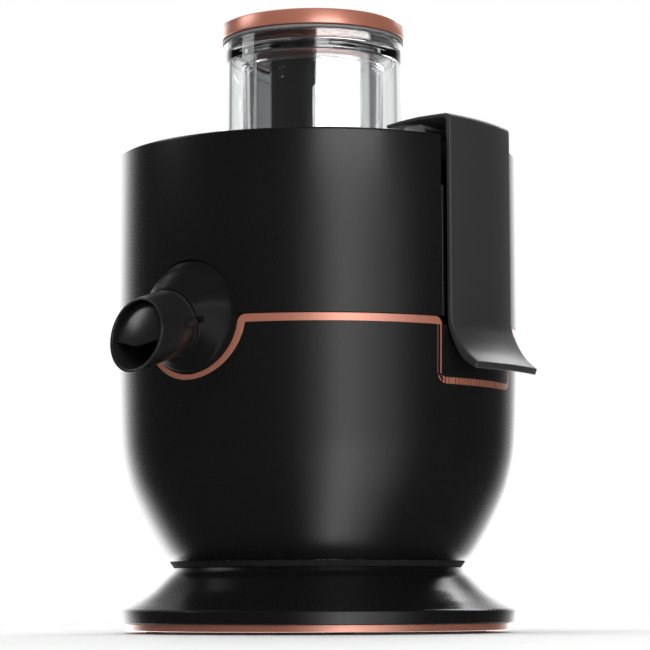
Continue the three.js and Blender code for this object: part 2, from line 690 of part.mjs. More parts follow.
function pusherBody() {
  const outer = THROAT_RADIUS - 1.7;
  return turned([
    [0, THROAT_END + 2], [outer - 1, THROAT_END + 2], [outer, THROAT_END + 3],
    [outer, TUBE_TOP - 11.4], [MOUTH_RADIUS - 0.8, TUBE_TOP - 4],
    [MOUTH_RADIUS - 0.8, TUBE_TOP + 0.1], [outer - 2.6, TUBE_TOP + 0.1],
    [outer - 2.6, THROAT_END + 5], [0, THROAT_END + 5],
  ]).translate([TUBE_OFFSET, 0, 0]);
}

const pusherGasket = () =>
  disc(54.6, TUBE_TOP + 0.5, TUBE_TOP + 2.1, 36.4).translate([TUBE_OFFSET, 0, 0]);

function pusherCap() {
  const bottom = TUBE_TOP + 2.4;
  return turned([
    [0, 340], [35.4, 340], [35.4, bottom], [CAP_RADIUS, bottom],
    [CAP_RADIUS - 0.9, CAP_TOP - 1.2], [CAP_RADIUS - 2.2, CAP_TOP], [0, CAP_TOP],
  ]).translate([TUBE_OFFSET, 0, 0]);
}

// ---------------------------------------------------------------- assembly

/** A group that holds the pieces of one rigid body. */
function body(...pieces) {
  const group = new THREE.Group();
  group.add(...pieces);
  return group;
}

/** Pieces placed at the four quarter points, numbered from 1. */
function quartet(name, solid, points, height, look) {
  return points.map(([x, y], i) => {
    const mesh = piece(`${name}_${i + 1}`, solid, look);
    mesh.position.set(x, y, height);
    return mesh;
  });
}

function motorBolts() {
  return [-1, 1].map((side, i) => {
    const mesh = piece(`motor_bolt_${i + 1}`, motorBolt(), STEEL);
    mesh.position.set(side * BOLT_OFFSET, 0, 0);
    return mesh;
  });
}

const base = body(
  piece("foot", foot(), GLOSS_BLACK),
  piece("copper_base_ring", baseRing(), COPPER),
  piece("base_plate", basePlate(), SATIN_BLACK),
  ...quartet("rubber_foot", rubberPad(), quarterPoints(PAD_CIRCLE, 45), -PAD_DROP, RUBBER),
  ...quartet("base_screw", baseScrew(), quarterPoints(SCREW_CIRCLE, 0), 0, STEEL),
  piece("lower_housing", lowerHousing(), GLOSS_BLACK),
  piece("copper_trim", copperTrim(), COPPER),
  piece("pulp_tray", pulpTray(), GLOSS_BLACK),
  piece("deck", deck(), SATIN_BLACK),
  piece("shaft_seal", shaftSeal(), RUBBER),
  piece("motor_bracket_top", motorBracket(124, 121.6, 130), STEEL),
  piece("motor_bracket_bottom", motorBracket(MOTOR_BOTTOM + 3, MOTOR_BOTTOM, 43.6), STEEL),
  piece("bearing_top", bearing(122), STEEL),
  piece("bearing_bottom", bearing(MOTOR_BOTTOM + GAP), STEEL),
  piece("stator", stator(), STEEL),
  piece("field_coil_1", fieldCoil(1), COPPER_WIRE),
  piece("field_coil_2", fieldCoil(-1), COPPER_WIRE),
  piece("brush_holder_1", brushHolder(1), NYLON),
  piece("brush_holder_2", brushHolder(-1), NYLON),
  ...motorBolts(),
  piece("speed_switch", speedSwitch(), NYLON),
  piece("cord_gland", cordGland(), RUBBER),
);

const rotor = body(
  piece("motor_shaft", motorShaft(), STEEL),
  piece("armature", armature(), STEEL),
  piece("winding_top", winding(CORE_TOP + GAP, 118), COPPER_WIRE),
  piece("winding_bottom", winding(56.2, CORE_BOTTOM - GAP), COPPER_WIRE),
  piece("commutator", commutator(), COPPER_WIRE),
  piece("cooling_fan", coolingFan(), SATIN_BLACK),
  piece("drive_coupling", driveCoupling(), NYLON),
);

const collector = body(
  piece("upper_housing", upperHousing(), GLOSS_BLACK),
  piece("bowl_floor", bowlFloor(), SATIN_BLACK),
  piece("bowl_chimney", bowlChimney(), SATIN_BLACK),
  piece("bowl_wall", bowlWall(), SATIN_BLACK),
  piece("bowl_flange", bowlFlange(), SATIN_BLACK),
  piece("bowl_spout", bowlSpout(), SATIN_BLACK),
  piece("pulp_duct", pulpDuct(), GLOSS_BLACK),
  piece("spout_flare", spoutFlare(), GLOSS_BLACK),
  piece("latch_pin", latchPin(), STEEL),
);

const filter = body(
  piece("filter_mesh", filterMesh(), STEEL),
  piece("filter_hub", filterHub(), STEEL),
  piece("drive_socket", driveSocket(), NYLON),
  piece("filter_rim", filterRim(), STEEL),
  piece("grating_disc", gratingDisc(), TITANIUM),
);

const cover = body(
  piece("lid", lid(), SATIN_GREY),
  piece("lid_seal", lidSeal(), RUBBER),
  piece("feed_tube", feedTube(), CLEAR),
  piece("chute_cover", chuteCover(), SATIN_GREY),
);

const pusher = body(
  piece("pusher_body", pusherBody(), SMOKED),
  piece("pusher_gasket", pusherGasket(), RUBBER),
  piece("pusher_cap", pusherCap(), COPPER),
);

const juicer = new THREE.Group();
juicer.add(
  base,
  rotor,
  collector,
  filter,
  cover,
  pusher,
  piece("nozzle", nozzle(), GLOSS_BLACK),
  piece("speed_knob", knob(), GLOSS_BLACK),
  piece("lid_latch", latchLever(), SATIN_BLACK),
);

export default juicer;
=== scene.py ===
"""The looks of a centrifugal juicer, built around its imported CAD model.

Outlines are given in millimetres, as [radius, height] about the motor's axis or another named axis,
and turned into metres when the mesh is made. The juice nozzle points along -Y, the pulp chute +X.
"""

import math

import bmesh
import bpy
from mathutils import Matrix, Vector


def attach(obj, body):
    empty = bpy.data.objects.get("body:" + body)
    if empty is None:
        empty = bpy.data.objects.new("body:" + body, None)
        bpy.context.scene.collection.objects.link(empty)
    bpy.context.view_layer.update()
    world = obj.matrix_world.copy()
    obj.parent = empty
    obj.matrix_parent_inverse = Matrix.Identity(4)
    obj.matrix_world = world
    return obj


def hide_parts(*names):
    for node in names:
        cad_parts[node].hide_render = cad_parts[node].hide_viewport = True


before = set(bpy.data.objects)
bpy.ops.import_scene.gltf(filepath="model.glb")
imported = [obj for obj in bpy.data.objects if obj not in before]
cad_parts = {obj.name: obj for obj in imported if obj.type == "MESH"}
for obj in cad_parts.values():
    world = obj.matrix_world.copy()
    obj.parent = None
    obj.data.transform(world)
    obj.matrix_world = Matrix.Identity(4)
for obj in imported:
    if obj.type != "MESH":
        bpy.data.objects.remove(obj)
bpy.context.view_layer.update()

MM = 0.001
TAU = 2 * math.pi

# ---------------------------------------------------------------- driving sizes, in millimetres

BODY_RADIUS = 118.4
SEAM = 174.8
TRIM_WIDTH = 4.4
TRIM_SIDE = 3.4  # width of the trim beside the chute's notch
HOUSING_TOP = 278.5
FOOT_TOP = 36.2
NECK_TOP = 39.8
FLOOR_LEVEL = -1.5

SPOUT_HEIGHT = 175.2
SPOUT_SLOPE = math.radians(17.5)
FLARE_RADIUS = 31.6
DIP_RADIUS = 32.3
DIP_RISE = 1.6  # how much thinner the trim is at the bottom of its dip
NOZZLE_RADIUS = 18.9
NOZZLE_BORE = 15.2
NOZZLE_END_TILT = math.radians(10)
COLLAR_RADIUS = 17.4
SPOUT_TUBE_RADIUS = 18.4
INDEX_BAR_TOP = 21.6
COLLAR_DISTANCE = 17.2
FLARE_END = 14.8
NOZZLE_LENGTH = 45.5

NOTCH_HALF_WIDTH = 33.1
NOTCH_FLOOR = 141.5
NOTCH_REACH = BODY_RADIUS * math.asin(NOTCH_HALF_WIDTH / BODY_RADIUS) + TRIM_SIDE / 2

CHANNEL_INNER = 95.0
CHANNEL_HALF_WIDTH = 30.6
COVER_HALF_WIDTH = 30.6

TUBE_OFFSET = (-2.5, 0.0)
TUBE_TOP = 349.5
THROAT_RADIUS = 40.3
THROAT_END = 220.0
MOUTH_RADIUS = 49.6
CORE_RADIUS = 26.0
CAP_TOP = 361.0
CAP_RADIUS = 55.9

BASKET_FLOOR = 207.0
BASKET_TOP = 250.0
BASKET_BOTTOM_RADIUS = 54.0
BASKET_TOP_RADIUS = 73.0
COUPLING_TOP = 197.0

KNOB_HEIGHT = 105.0
CORD_HEIGHT = 60.0

# ---------------------------------------------------------------- camera

CAMERA_AZIMUTH = math.radians(37.4)  # from the nozzle's direction towards the chute
CAMERA_DISTANCE = 1.4981
CAMERA_HEIGHT = 0.0176
CAMERA_SIDE = 0.0048
CAMERA_TILT = math.radians(6.209)
CAMERA_ROLL = math.radians(-0.184)
CAMERA_LENS = 140.0


def make_camera():
    right = Vector((math.cos(CAMERA_AZIMUTH), math.sin(CAMERA_AZIMUTH), 0))
    forward = Vector((-math.sin(CAMERA_AZIMUTH), math.cos(CAMERA_AZIMUTH), 0))
    data = bpy.data.cameras.new("camera")
    data.lens = CAMERA_LENS
    data.sensor_width = 36.0
    data.clip_end = 50.0
    camera = bpy.data.objects.new("camera", data)
    camera.location = right * CAMERA_SIDE - forward * CAMERA_DISTANCE + Vector((0, 0, CAMERA_HEIGHT))
    turn = Matrix.Rotation(CAMERA_AZIMUTH, 4, "Z")
    tilt = Matrix.Rotation(math.pi / 2 + CAMERA_TILT, 4, "X")
    roll = Matrix.Rotation(CAMERA_ROLL, 4, "Z")
    camera.rotation_euler = (turn @ tilt @ roll).to_euler()
    bpy.context.scene.collection.objects.link(camera)
    bpy.context.scene.camera = camera


make_camera()

# ---------------------------------------------------------------- outlines


def arc(centre, radius, start, end, steps):
    """Points on an arc, with angles in degrees."""
    points = []
    for i in range(steps + 1):
        angle = math.radians(start + (end - start) * i / steps)
        points.append((centre[0] + radius * math.cos(angle), centre[1] + radius * math.sin(angle)))
    return points


def fillet(before, corner, after, radius, steps=5):
    """The points that round one corner of an outline."""
    a, b, c = Vector(before[:2]), Vector(corner[:2]), Vector(after[:2])
    to_a, to_c = (a - b), (c - b)
    room = min(to_a.length, to_c.length) * 0.49
    to_a.normalize()
    to_c.normalize()
    half = to_a.angle(to_c) / 2
    if half > math.radians(88):
        return [tuple(b)]
    reach = min(radius / math.tan(half), room)
    start, end = b + to_a * reach, b + to_c * reach
    points = []
    for i in range(steps + 1):
        t = i / steps
        points.append(tuple(start * (1 - t) ** 2 + b * 2 * t * (1 - t) + end * t**2))
    return points


def rounded(outline, radius=0.5, steps=4):
    """A closed outline with its corners rounded. A third number in a point is its own radius."""
    points = []
    for i, corner in enumerate(outline):
        own = corner[2] if len(corner) > 2 else radius
        after = outline[(i + 1) % len(outline)]
        if own <= 0:
            points.append(tuple(corner[:2]))
        else:
            points.extend(fillet(outline[i - 1], corner, after, own, steps))
    return points


def curve_through(points, steps=6):
    """A smooth open curve through points (Catmull-Rom)."""
    padded = [points[0], *points, points[-1]]
    curve = []
    for i in range(1, len(padded) - 2):
        p0, p1, p2, p3 = (Vector(p) for p in padded[i - 1:i + 3])
        for step in range(steps):
            t = step / steps
            cubic = p0 * (-t + 2 * t**2 - t**3) + p1 * (2 - 5 * t**2 + 3 * t**3)
            cubic += p2 * (t + 4 * t**2 - 3 * t**3) + p3 * (t**3 - t**2)
            curve.append(tuple(cubic / 2))
    curve.append(tuple(points[-1]))
    return curve


# ---------------------------------------------------------------- meshes


def new_object(name, vertices, faces):
    mesh = bpy.data.meshes.new(name)
    mesh.from_pydata([tuple(c * MM for c in v) for v in vertices], [], faces)
    tool = bmesh.new()
    tool.from_mesh(mesh)
    bmesh.ops.remove_doubles(tool, verts=tool.verts, dist=2e-6)
    bmesh.ops.dissolve_degenerate(tool, edges=tool.edges, dist=1e-7)
    bmesh.ops.recalc_face_normals(tool, faces=tool.faces)
    tool.to_mesh(mesh)
    tool.free()
    obj = bpy.data.objects.new(name, mesh)
    bpy.context.scene.collection.objects.link(obj)
    return obj


def grid_faces(rows, columns, wrap_rows, wrap_columns):
    """Quads over a grid of vertices numbered row by row."""
    faces = []
    for i in range(rows if wrap_rows else rows - 1):
        for j in range(columns if wrap_columns else columns - 1):
            k, m = (i + 1) % rows, (j + 1) % columns
            faces.append((i * columns + j, i * columns + m, k * columns + m, k * columns + j))
    return faces


def lathe(name, outline, sides=192, centre=(0.0, 0.0)):
    """A closed outline of [radius, height] turned about a vertical axis."""
    vertices = []
    for i in range(sides):
        angle = TAU * i / sides
        for radius, height in outline:
            vertices.append((
                centre[0] + radius * math.cos(angle), centre[1] + radius * math.sin(angle), height))
    return new_object(name, vertices, grid_faces(sides, len(outline), True, True))


def ring(bottom, top, inner, outer, radius=0.4):
    """A rounded rectangle as an outline for lathe."""
    return rounded([(inner, bottom), (outer, bottom), (outer, top), (inner, top)], radius)


def block(name, low, high):
    x0, y0, z0 = low
    x1, y1, z1 = high
    vertices = [(x, y, z) for x in (x0, x1) for y in (y0, y1) for z in (z0, z1)]
    faces = [(0, 1, 3, 2), (4, 6, 7, 5), (0, 4, 5, 1), (2, 3, 7, 6), (0, 2, 6, 4), (1, 5, 7, 3)]
    return new_object(name, vertices, faces)


def prism(name, outline, low, high):
    """An outline of [x, y] points extruded along Z."""
    count = len(outline)
    vertices = [(x, y, low) for x, y in outline] + [(x, y, high) for x, y in outline]
    faces = [tuple(range(count)), tuple(range(2 * count - 1, count - 1, -1))]
    for i in range(count):
        j = (i + 1) % count
        faces.append((i, j, j + count, i + count))
    return new_object(name, vertices, faces)


def transform(obj, matrix):
    """Moves a mesh's own vertices."""
    obj.data.transform(matrix)
    obj.data.update()
    return obj


def drum(radius, low, high, sides=192, centre=(0.0, 0.0)):
    """A solid cylinder, for cutting."""
    return lathe("drum", [(0, low), (radius, low), (radius, high), (0, high)], sides, centre)


def rod(radius, low, high, frame_of_rod, sides=48):
    """A solid cylinder along another frame's Z axis, for cutting."""
    return transform(drum(radius, low, high, sides), frame_of_rod)


def translation(x, y, z):
    return Matrix.Translation((x * MM, y * MM, z * MM))


ALONG_FRONT = Matrix.Rotation(math.pi / 2, 4, "X")
ALONG_BACK = Matrix.Rotation(-math.pi / 2, 4, "X")
ALONG_MINUS_X = Matrix.Rotation(-math.pi / 2, 4, "Y")
SPOUT_HOLE = translation(0, 0, SPOUT_HEIGHT) @ ALONG_FRONT
KNOB_AXIS = translation(0, 0, KNOB_HEIGHT) @ ALONG_MINUS_X
CORD_AXIS = translation(0, 0, CORD_HEIGHT) @ ALONG_BACK
ALONG_SPOUT = (
    translation(0, -BODY_RADIUS, SPOUT_HEIGHT)
    @ Matrix.Rotation(SPOUT_SLOPE, 4, "X") @ ALONG_FRONT)


def baked(obj):
    """Applies an object's modifiers."""
    graph = bpy.context.evaluated_depsgraph_get()
    mesh = bpy.data.meshes.new_from_object(obj.evaluated_get(graph))
    obj.modifiers.clear()
    obj.data = mesh
    return obj


def combine(obj, others, operation="DIFFERENCE"):
    """Cuts, joins or intersects with other objects, which are used up."""
    for other in others:
        modifier = obj.modifiers.new("boolean", "BOOLEAN")
        modifier.solver = "EXACT"
        modifier.operation = operation
        modifier.object = other
        baked(obj)
        bpy.data.objects.remove(other)
    return obj


def cut(obj, *others):
    return combine(obj, others)


def join(obj, *others):
    return combine(obj, others, "UNION")


def bevel(obj, width, steps=3, angle=40):
    """Rounds the sharp edges by a width in millimetres."""
    modifier = obj.modifiers.new("bevel", "BEVEL")
    modifier.width = width * MM
    modifier.segments = steps
    modifier.limit_method = "ANGLE"
    modifier.angle_limit = math.radians(angle)
    modifier.use_clamp_overlap = True
    return baked(obj)


def merged(name, objects):
    """One object that holds several separate meshes."""
    tool = bmesh.new()
    for obj in objects:
        tool.from_mesh(obj.data)
        bpy.data.objects.remove(obj)
    mesh = bpy.data.meshes.new(name)
    tool.to_mesh(mesh)
    tool.free()
    obj = bpy.data.objects.new(name, mesh)
    bpy.context.scene.collection.objects.link(obj)
    return obj


def copies(obj, count, centre=(0.0, 0.0)):
    """An object repeated evenly about a vertical axis, as one object."""
    there, back = translation(*centre, 0), translation(-centre[0], -centre[1], 0)
    tool = bmesh.new()
    for i in range(count):
        mesh = obj.data.copy()
        mesh.transform(there @ Matrix.Rotation(TAU * i / count, 4, "Z") @ back)
        tool.from_mesh(mesh)
        bpy.data.meshes.remove(mesh)
    tool.to_mesh(obj.data)
    tool.free()
    return obj


def smooth(obj, angle=32):
    for polygon in obj.data.polygons:
        polygon.use_smooth = True
    obj.data.set_sharp_from_angle(angle=math.radians(angle))


def place(obj, body, slot, material, *replaced, angle=32):
    """Gives a finished piece its material, its body and the CAD nodes it stands for."""
    obj.data.materials.clear()
    obj.data.materials.append(material)
    smooth(obj, angle)
    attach(obj, body)
    if replaced:
        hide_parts(*replaced)
    return obj


# ---------------------------------------------------------------- materials


class Nodes:
    """A small helper that builds the node tree of a material or of the world."""

    def __init__(self, owner):
        owner.use_nodes = True
        self.owner = owner
        self.tree = owner.node_tree
        coordinates = self.add("ShaderNodeTexCoord").outputs
        self.place = coordinates["Object"]
        self.direction = coordinates["Generated"]

    def feed(self, socket, value):
        """Gives a socket its value, or links another node's output to it."""
        if isinstance(value, bpy.types.NodeSocket):
            self.tree.links.new(value, socket)
        else:
            socket.default_value = value

    def add(self, kind, inputs=(), **settings):
        node = self.tree.nodes.new(kind)
        for key, value in settings.items():
            setattr(node, key, value)
        for key, value in dict(inputs).items():
            self.feed(node.inputs[key], value)
        return node

    def set(self, **values):
        """Feeds the shader's own sockets."""
        shader = self.tree.nodes["Principled BSDF"]
        for key, value in values.items():
            self.feed(shader.inputs[key.replace("_", " ")], value)

    def math(self, operation, first, second):
        return self.add("ShaderNodeMath", {0: first, 1: second}, operation=operation).outputs[0]

    def split(self, vector):
        return self.add("ShaderNodeSeparateXYZ", {0: vector}).outputs

    def around(self, turns, rise):
        """Coordinates that run round the motor's axis, so that marks follow a turned surface."""
        x, y, z = self.split(self.place)
        angle = self.math("MULTIPLY", self.math("ARCTAN2", y, x), turns)
        height = self.math("MULTIPLY", z, rise)
        return self.add("ShaderNodeCombineXYZ", {"X": angle, "Z": height}).outputs[0]

    def noise(self, vector, scale, detail=4.0, roughness=0.55):
        inputs = {"Vector": vector, "Scale": scale, "Detail": detail, "Roughness": roughness}
        return self.add("ShaderNodeTexNoise", inputs).outputs["Fac"]

    def bands(self, direction, scale, distortion):
        inputs = {"Vector": self.place, "Scale": scale, "Distortion": distortion}
        node = self.add("ShaderNodeTexWave", inputs, wave_type="BANDS", bands_direction=direction)
        return node.outputs["Fac"]

    def spread(self, value, low, high, start=0.3, end=0.7):
        """Maps a value from start..end to low..high."""
        inputs = {"Value": value, "From Min": start, "From Max": end, "To Min": low, "To Max": high}
        return self.add("ShaderNodeMapRange", inputs).outputs["Result"]

    def tint(self, value, first, second):
        """Mixes two colours by a value."""
        inputs = {"Factor": value, 6: (*first, 1), 7: (*second, 1)}
        return self.add("ShaderNodeMix", inputs, data_type="RGBA").outputs[2]

    def bump(self, value, strength, distance):
        inputs = {"Strength": strength, "Distance": distance, "Height": value}
        self.set(Normal=self.add("ShaderNodeBump", inputs).outputs[0])


def new_material(name):
    return Nodes(bpy.data.materials.new(name))


def moulded(name, dark, light, roughness, grain, bump, specular=0.5, coat=0.0):
    """Injection-moulded plastic: faint colour drift, uneven gloss and a fine surface grain."""
    nodes = new_material(name)
    drift = nodes.noise(nodes.place, 9.0, 3.0)
    fine = nodes.noise(nodes.place, grain, 5.0, 0.6)
    nodes.bump(fine, bump, 0.0004)
    nodes.set(Base_Color=nodes.tint(drift, dark, light), Roughness=nodes.spread(fine, *roughness),
              Specular_IOR_Level=specular, Coat_Weight=coat, Coat_Roughness=0.06)
    return nodes.owner


def turned_metal(name, dark, light, roughness, turns, rise, bump):
    """Metal with fine marks that run round the axis it was turned or drawn about."""
    nodes = new_material(name)
    marks = nodes.noise(nodes.around(turns, rise), 1.0, 6.0, 0.65)
    drift = nodes.noise(nodes.place, 14.0, 3.0)
    nodes.bump(marks, bump, 0.0002)
    nodes.set(Base_Color=nodes.tint(drift, dark, light), Roughness=nodes.spread(marks, *roughness),
              Metallic=1.0)
    return nodes.owner


def satin_copper():
    """Copper-coloured lacquer over metal, with fine grain and a soft sheen."""
    nodes = new_material("copper")
    drift = nodes.noise(nodes.place, 12.0, 3.0)
    fine = nodes.noise(nodes.place, 2600.0, 4.0, 0.6)
    nodes.bump(fine, 0.04, 0.0002)
    nodes.set(Base_Color=nodes.tint(drift, (0.56, 0.2, 0.13), (0.62, 0.23, 0.155)),
              Roughness=nodes.spread(fine, 0.26, 0.36), Metallic=0.4, Specular_IOR_Level=0.9,
              Coat_Weight=0.6, Coat_Roughness=0.22)
    return nodes.owner


def clear_plastic(name, colour):
    """Clear moulded plastic with faint flow marks."""
    nodes = new_material(name)
    mapping = nodes.add("ShaderNodeMapping", {"Vector": nodes.place, "Scale": (1, 1, 0.2)})
    flow = nodes.noise(mapping.outputs["Vector"], 30.0, 3.0)
    nodes.bump(flow, 0.02, 0.0003)
    nodes.set(Base_Color=(*colour, 1), Roughness=nodes.spread(flow, 0.0, 0.03),
              Transmission_Weight=1.0, IOR=1.45)
    return nodes.owner


def laminated(name, dark, light):
    """A stack of thin steel sheets, seen as fine level lines."""
    nodes = new_material(name)
    sheets = nodes.bands("Z", 320.0, 0.4)
    nodes.bump(sheets, 0.4, 0.0002)
    nodes.set(Base_Color=nodes.tint(sheets, dark, light),
              Roughness=nodes.spread(sheets, 0.35, 0.6, 0, 1), Metallic=0.9)
    return nodes.owner


def wound_wire(name, dark, light):
    """Enamelled wire laid turn beside turn."""
    nodes = new_material(name)
    turns = nodes.bands("DIAGONAL", 260.0, 1.2)
    nodes.bump(turns, 0.8, 0.0004)
    nodes.set(Base_Color=nodes.tint(turns, dark, light), Metallic=0.6, Roughness=0.35,
              Coat_Weight=0.4, Coat_Roughness=0.15)
    return nodes.owner


def pale_floor():
    nodes = new_material("studio_floor")
    drift = nodes.noise(nodes.place, 3.0, 2.0)
    nodes.set(Base_Color=nodes.tint(drift, (0.9, 0.9, 0.9), (0.93, 0.93, 0.93)),
              Roughness=0.7, Specular_IOR_Level=0.1)
    return nodes.owner


GLOSS_BLACK = moulded(
    "gloss_black", (0.006, 0.006, 0.0062), (0.008, 0.008, 0.0083), (0.24, 0.28), 900, 0.01, 0.3)
NOZZLE_BLACK = moulded(
    "nozzle_black", (0.009, 0.009, 0.0092), (0.013, 0.013, 0.0134), (0.26, 0.32), 1500, 0.02, 0.5)
FLARE_BLACK = moulded(
    "flare_black", (0.006, 0.006, 0.0062), (0.009, 0.009, 0.0093), (0.24, 0.3), 1500, 0.02, 0.05)
POLISHED_BLACK = moulded(
    "polished_black", (0.012, 0.012, 0.013), (0.018, 0.018, 0.019), (0.05, 0.08), 700, 0.0, 1.0, 1.0)
SATIN_BLACK = moulded(
    "satin_black", (0.016, 0.016, 0.017), (0.022, 0.022, 0.023), (0.42, 0.52), 1800, 0.06, 0.4)
SATIN_GREY = moulded(
    "satin_grey", (0.03, 0.03, 0.031), (0.036, 0.036, 0.037), (0.38, 0.46), 2200, 0.06, 0.4)
LID_GREY = moulded(
    "lid_grey", (0.1, 0.1, 0.102), (0.12, 0.12, 0.122), (0.3, 0.36), 1200, 0.03, 0.5)
SMOKED = clear_plastic("smoked_plastic", (0.5, 0.5, 0.505))
RUBBER = moulded(
    "rubber", (0.012, 0.012, 0.012), (0.02, 0.02, 0.02), (0.7, 0.85), 2600, 0.12, 0.25)
# Painted light: a pale grey for the pusher's washer. It stands for the grey veil of light seen through the
# clear tube's wall, not for the washer's own colour.
PAINTED_VEIL_GREY = moulded(
    "painted_veil_grey", (0.2, 0.2, 0.205), (0.28, 0.28, 0.285), (0.4, 0.5), 2600, 0.05, 0.4)
NYLON = moulded(
    "nylon", (0.55, 0.54, 0.5), (0.64, 0.63, 0.59), (0.4, 0.5), 1400, 0.05, 0.4)
DARK_NYLON = moulded(
    "dark_nylon", (0.03, 0.03, 0.032), (0.045, 0.045, 0.047), (0.4, 0.5), 1400, 0.05, 0.4)
COPPER = satin_copper()
STEEL = turned_metal(
    "brushed_steel", (0.55, 0.55, 0.56), (0.66, 0.66, 0.67), (0.18, 0.34), 4.0, 7000, 0.06)
TITANIUM = turned_metal(
    "titanium_coated", (0.34, 0.31, 0.28), (0.42, 0.38, 0.34), (0.2, 0.36), 4.0, 5000, 0.05)
LAMINATION = laminated("lamination", (0.12, 0.12, 0.125), (0.32, 0.32, 0.33))
WIRE = wound_wire("copper_wire", (0.28, 0.09, 0.03), (0.6, 0.24, 0.1))
CLEAR = clear_plastic("clear_plastic", (0.985, 0.99, 0.992))

# ---------------------------------------------------------------- foot and base

LOWER_OUTER = [
    (87.8, 40.1), (91.5, 44.3), (98, 55), (104.6, 67.6), (110.1, 80.2), (113.6, 92), (116, 104.5),
    (117.1, 120), (117.7, 137), (118.2, 155), (BODY_RADIUS, SEAM)]
LOWER_CURVE = curve_through(LOWER_OUTER)


def wall_radius(height):
    """The lower housing's outer radius at a height."""
    for (r0, z0), (r1, z1) in zip(LOWER_CURVE, LOWER_CURVE[1:]):
        if z0 <= height <= z1:
            return r0 + (r1 - r0) * (height - z0) / (z1 - z0)
    return BODY_RADIUS


def make_foot():
    flare = curve_through([
        (84.85, FOOT_TOP), (86.6, 33.4), (90.1, 30.3), (94.2, 26.1), (98.9, 21.8), (106, 17.0),
        (112, 13.9), (115.4, 12.3)])
    edge = rounded([(115.4, 12.3, 0), (116.4, 11.2, 0.5), (115.4, 4.4, 0.4), (105, 4.4, 0)])
    inside = [(105, 9), (112, 10.4), (104.4, 14.8), (97, 19.8), (88.4, 28), (82, FOOT_TOP)]
    obj = lathe("foot_shell", [*flare, *edge[1:], *inside])
    place(obj, "base", "gloss_black", GLOSS_BLACK, "foot")


def make_base_ring():
    outline = rounded([(105.2, 0.1, 0.2), (113, 0.1, 0.7), (113, 4.1, 0.2), (105.2, 4.1, 0.2)])
    place(lathe("base_ring", outline), "base", "copper", COPPER, "copper_base_ring")


def quarter_points(radius, start):
    """Four points a quarter turn apart."""
    return [(radius * math.cos(a), radius * math.sin(a))
            for a in (math.radians(start + 90 * i) for i in range(4))]


def make_base_plate():
    plate = lathe("base_plate_moulding", ring(0, 3, 0.0, 104.8, 0.3))
    slot = prism("slot", arc((58, 0), 2, -90, 90, 6) + arc((36, 0), 2, 90, 270, 6), -1, 5)
    transform(slot, Matrix.Rotation(math.radians(15), 4, "Z"))
    cut(plate, copies(slot, 12))
    pad_circle, screw_circle = 92, 74
    for radius, spread, top, start in ((pad_circle, 9.3, 1.7, 45), (screw_circle, 2.4, 5, 0)):
        for x, y in quarter_points(radius, start):
            cut(plate, drum(spread, -1, top, 48, (x, y)))
    place(plate, "base", "satin_black", SATIN_BLACK, "base_plate")
    for i, (x, y) in enumerate(quarter_points(pad_circle, 45)):
        outline = rounded([(0, -1.5, 0), (7.6, -1.5, 0.2), (9, -0.8, 0.5), (9, 1.5, 0.2), (0, 1.5, 0)])
        pad = lathe(f"pad_{i + 1}", outline, 64, (x, y))
        grooves = [lathe("groove", ring(-2, -1.1, r, r + 0.8, 0), 64, (x, y)) for r in (2.4, 4.6)]
        cut(pad, *grooves)
        place(pad, "base", "rubber", RUBBER, f"rubber_foot_{i + 1}")


def make_base_screws():
    for i, (x, y) in enumerate(quarter_points(74, 0)):
        outline = rounded([
            (0, 0, 0), (2, 0, 0.2), (2, 7, 0), (4, 7, 0.1), (4, 8.4, 0.6), (2.6, 9.2, 0.6), (0, 9.2, 0)])
        screw = lathe(f"screw_{i + 1}", outline, 48, (x, y))
        place(screw, "base", "steel", STEEL, f"base_screw_{i + 1}")


def make_neck():
    bottom = FOOT_TOP + 0.3
    outline = [(80, bottom), (84.6, bottom), (85.3, 37.5), (86.2, 38.8), (87.0, NECK_TOP), (80, NECK_TOP)]
    place(lathe("neck_band", outline), "base", "rubber", RUBBER)


# ---------------------------------------------------------------- seam, trim and housings


def dip_depth(height):
    """How far down the trim's dip a height is, from 0 at the seam to 1 at the bottom."""
    return min(1.0, max(0.0, (SEAM - TRIM_WIDTH - height) / DIP_RADIUS))


def seam_path(step=0.5, window=1.8, spacing=1.3):
    """The middle of the trim band, as (distance round the wall, height), once round from the spout.

    It dips in a half circle under the spout and drops into a notch at the chute.
    """
    girth = TAU * BODY_RADIUS
    middle = SEAM - TRIM_WIDTH / 2
    dip = DIP_RADIUS + TRIM_WIDTH / 2
    start = math.degrees(math.asin((SPOUT_HEIGHT - middle) / dip))
    loop = []
    for x, z in arc((0, SPOUT_HEIGHT), dip, 180 + start, 360 - start, 64):
        z += dip_depth(z) * DIP_RISE / 2
        loop.append((BODY_RADIUS * math.asin(x / BODY_RADIUS), z))
    chute, reach = girth / 4, NOTCH_REACH
    floor, corner = NOTCH_FLOOR - TRIM_WIDTH / 2, 3.4
    loop.append((chute - reach - 0.05, middle))
    loop += arc((chute - reach + corner, floor + corner), corner, 180, 270, 8)
    loop += arc((chute + reach - corner, floor + corner), corner, 270, 360, 8)
    loop.append((chute + reach + 0.05, middle))
    loop.append((loop[0][0] + girth, loop[0][1]))
    dense = []
    for (s0, z0), (s1, z1) in zip(loop, loop[1:]):
        count = max(1, round(math.hypot(s1 - s0, z1 - z0) / step))
        dense += [(s0 + (s1 - s0) * i / count, z0 + (z1 - z0) * i / count) for i in range(count)]
    reach = round(window / step)
    soft = []
    for i in range(len(dense)):
        total = Vector((0, 0))
        for j in range(i - reach, i + reach + 1):
            turn = j // len(dense)
            s, z = dense[j % len(dense)]
            total += Vector((s + turn * girth, z))
        soft.append(total / (2 * reach + 1))
    return soft[::max(1, round(spacing / step))]


def on_wall(s, height, radius):
    """The point of the wall at a distance round it from the spout."""
    angle = s / BODY_RADIUS
    return (radius * math.sin(angle), -radius * math.cos(angle), height)


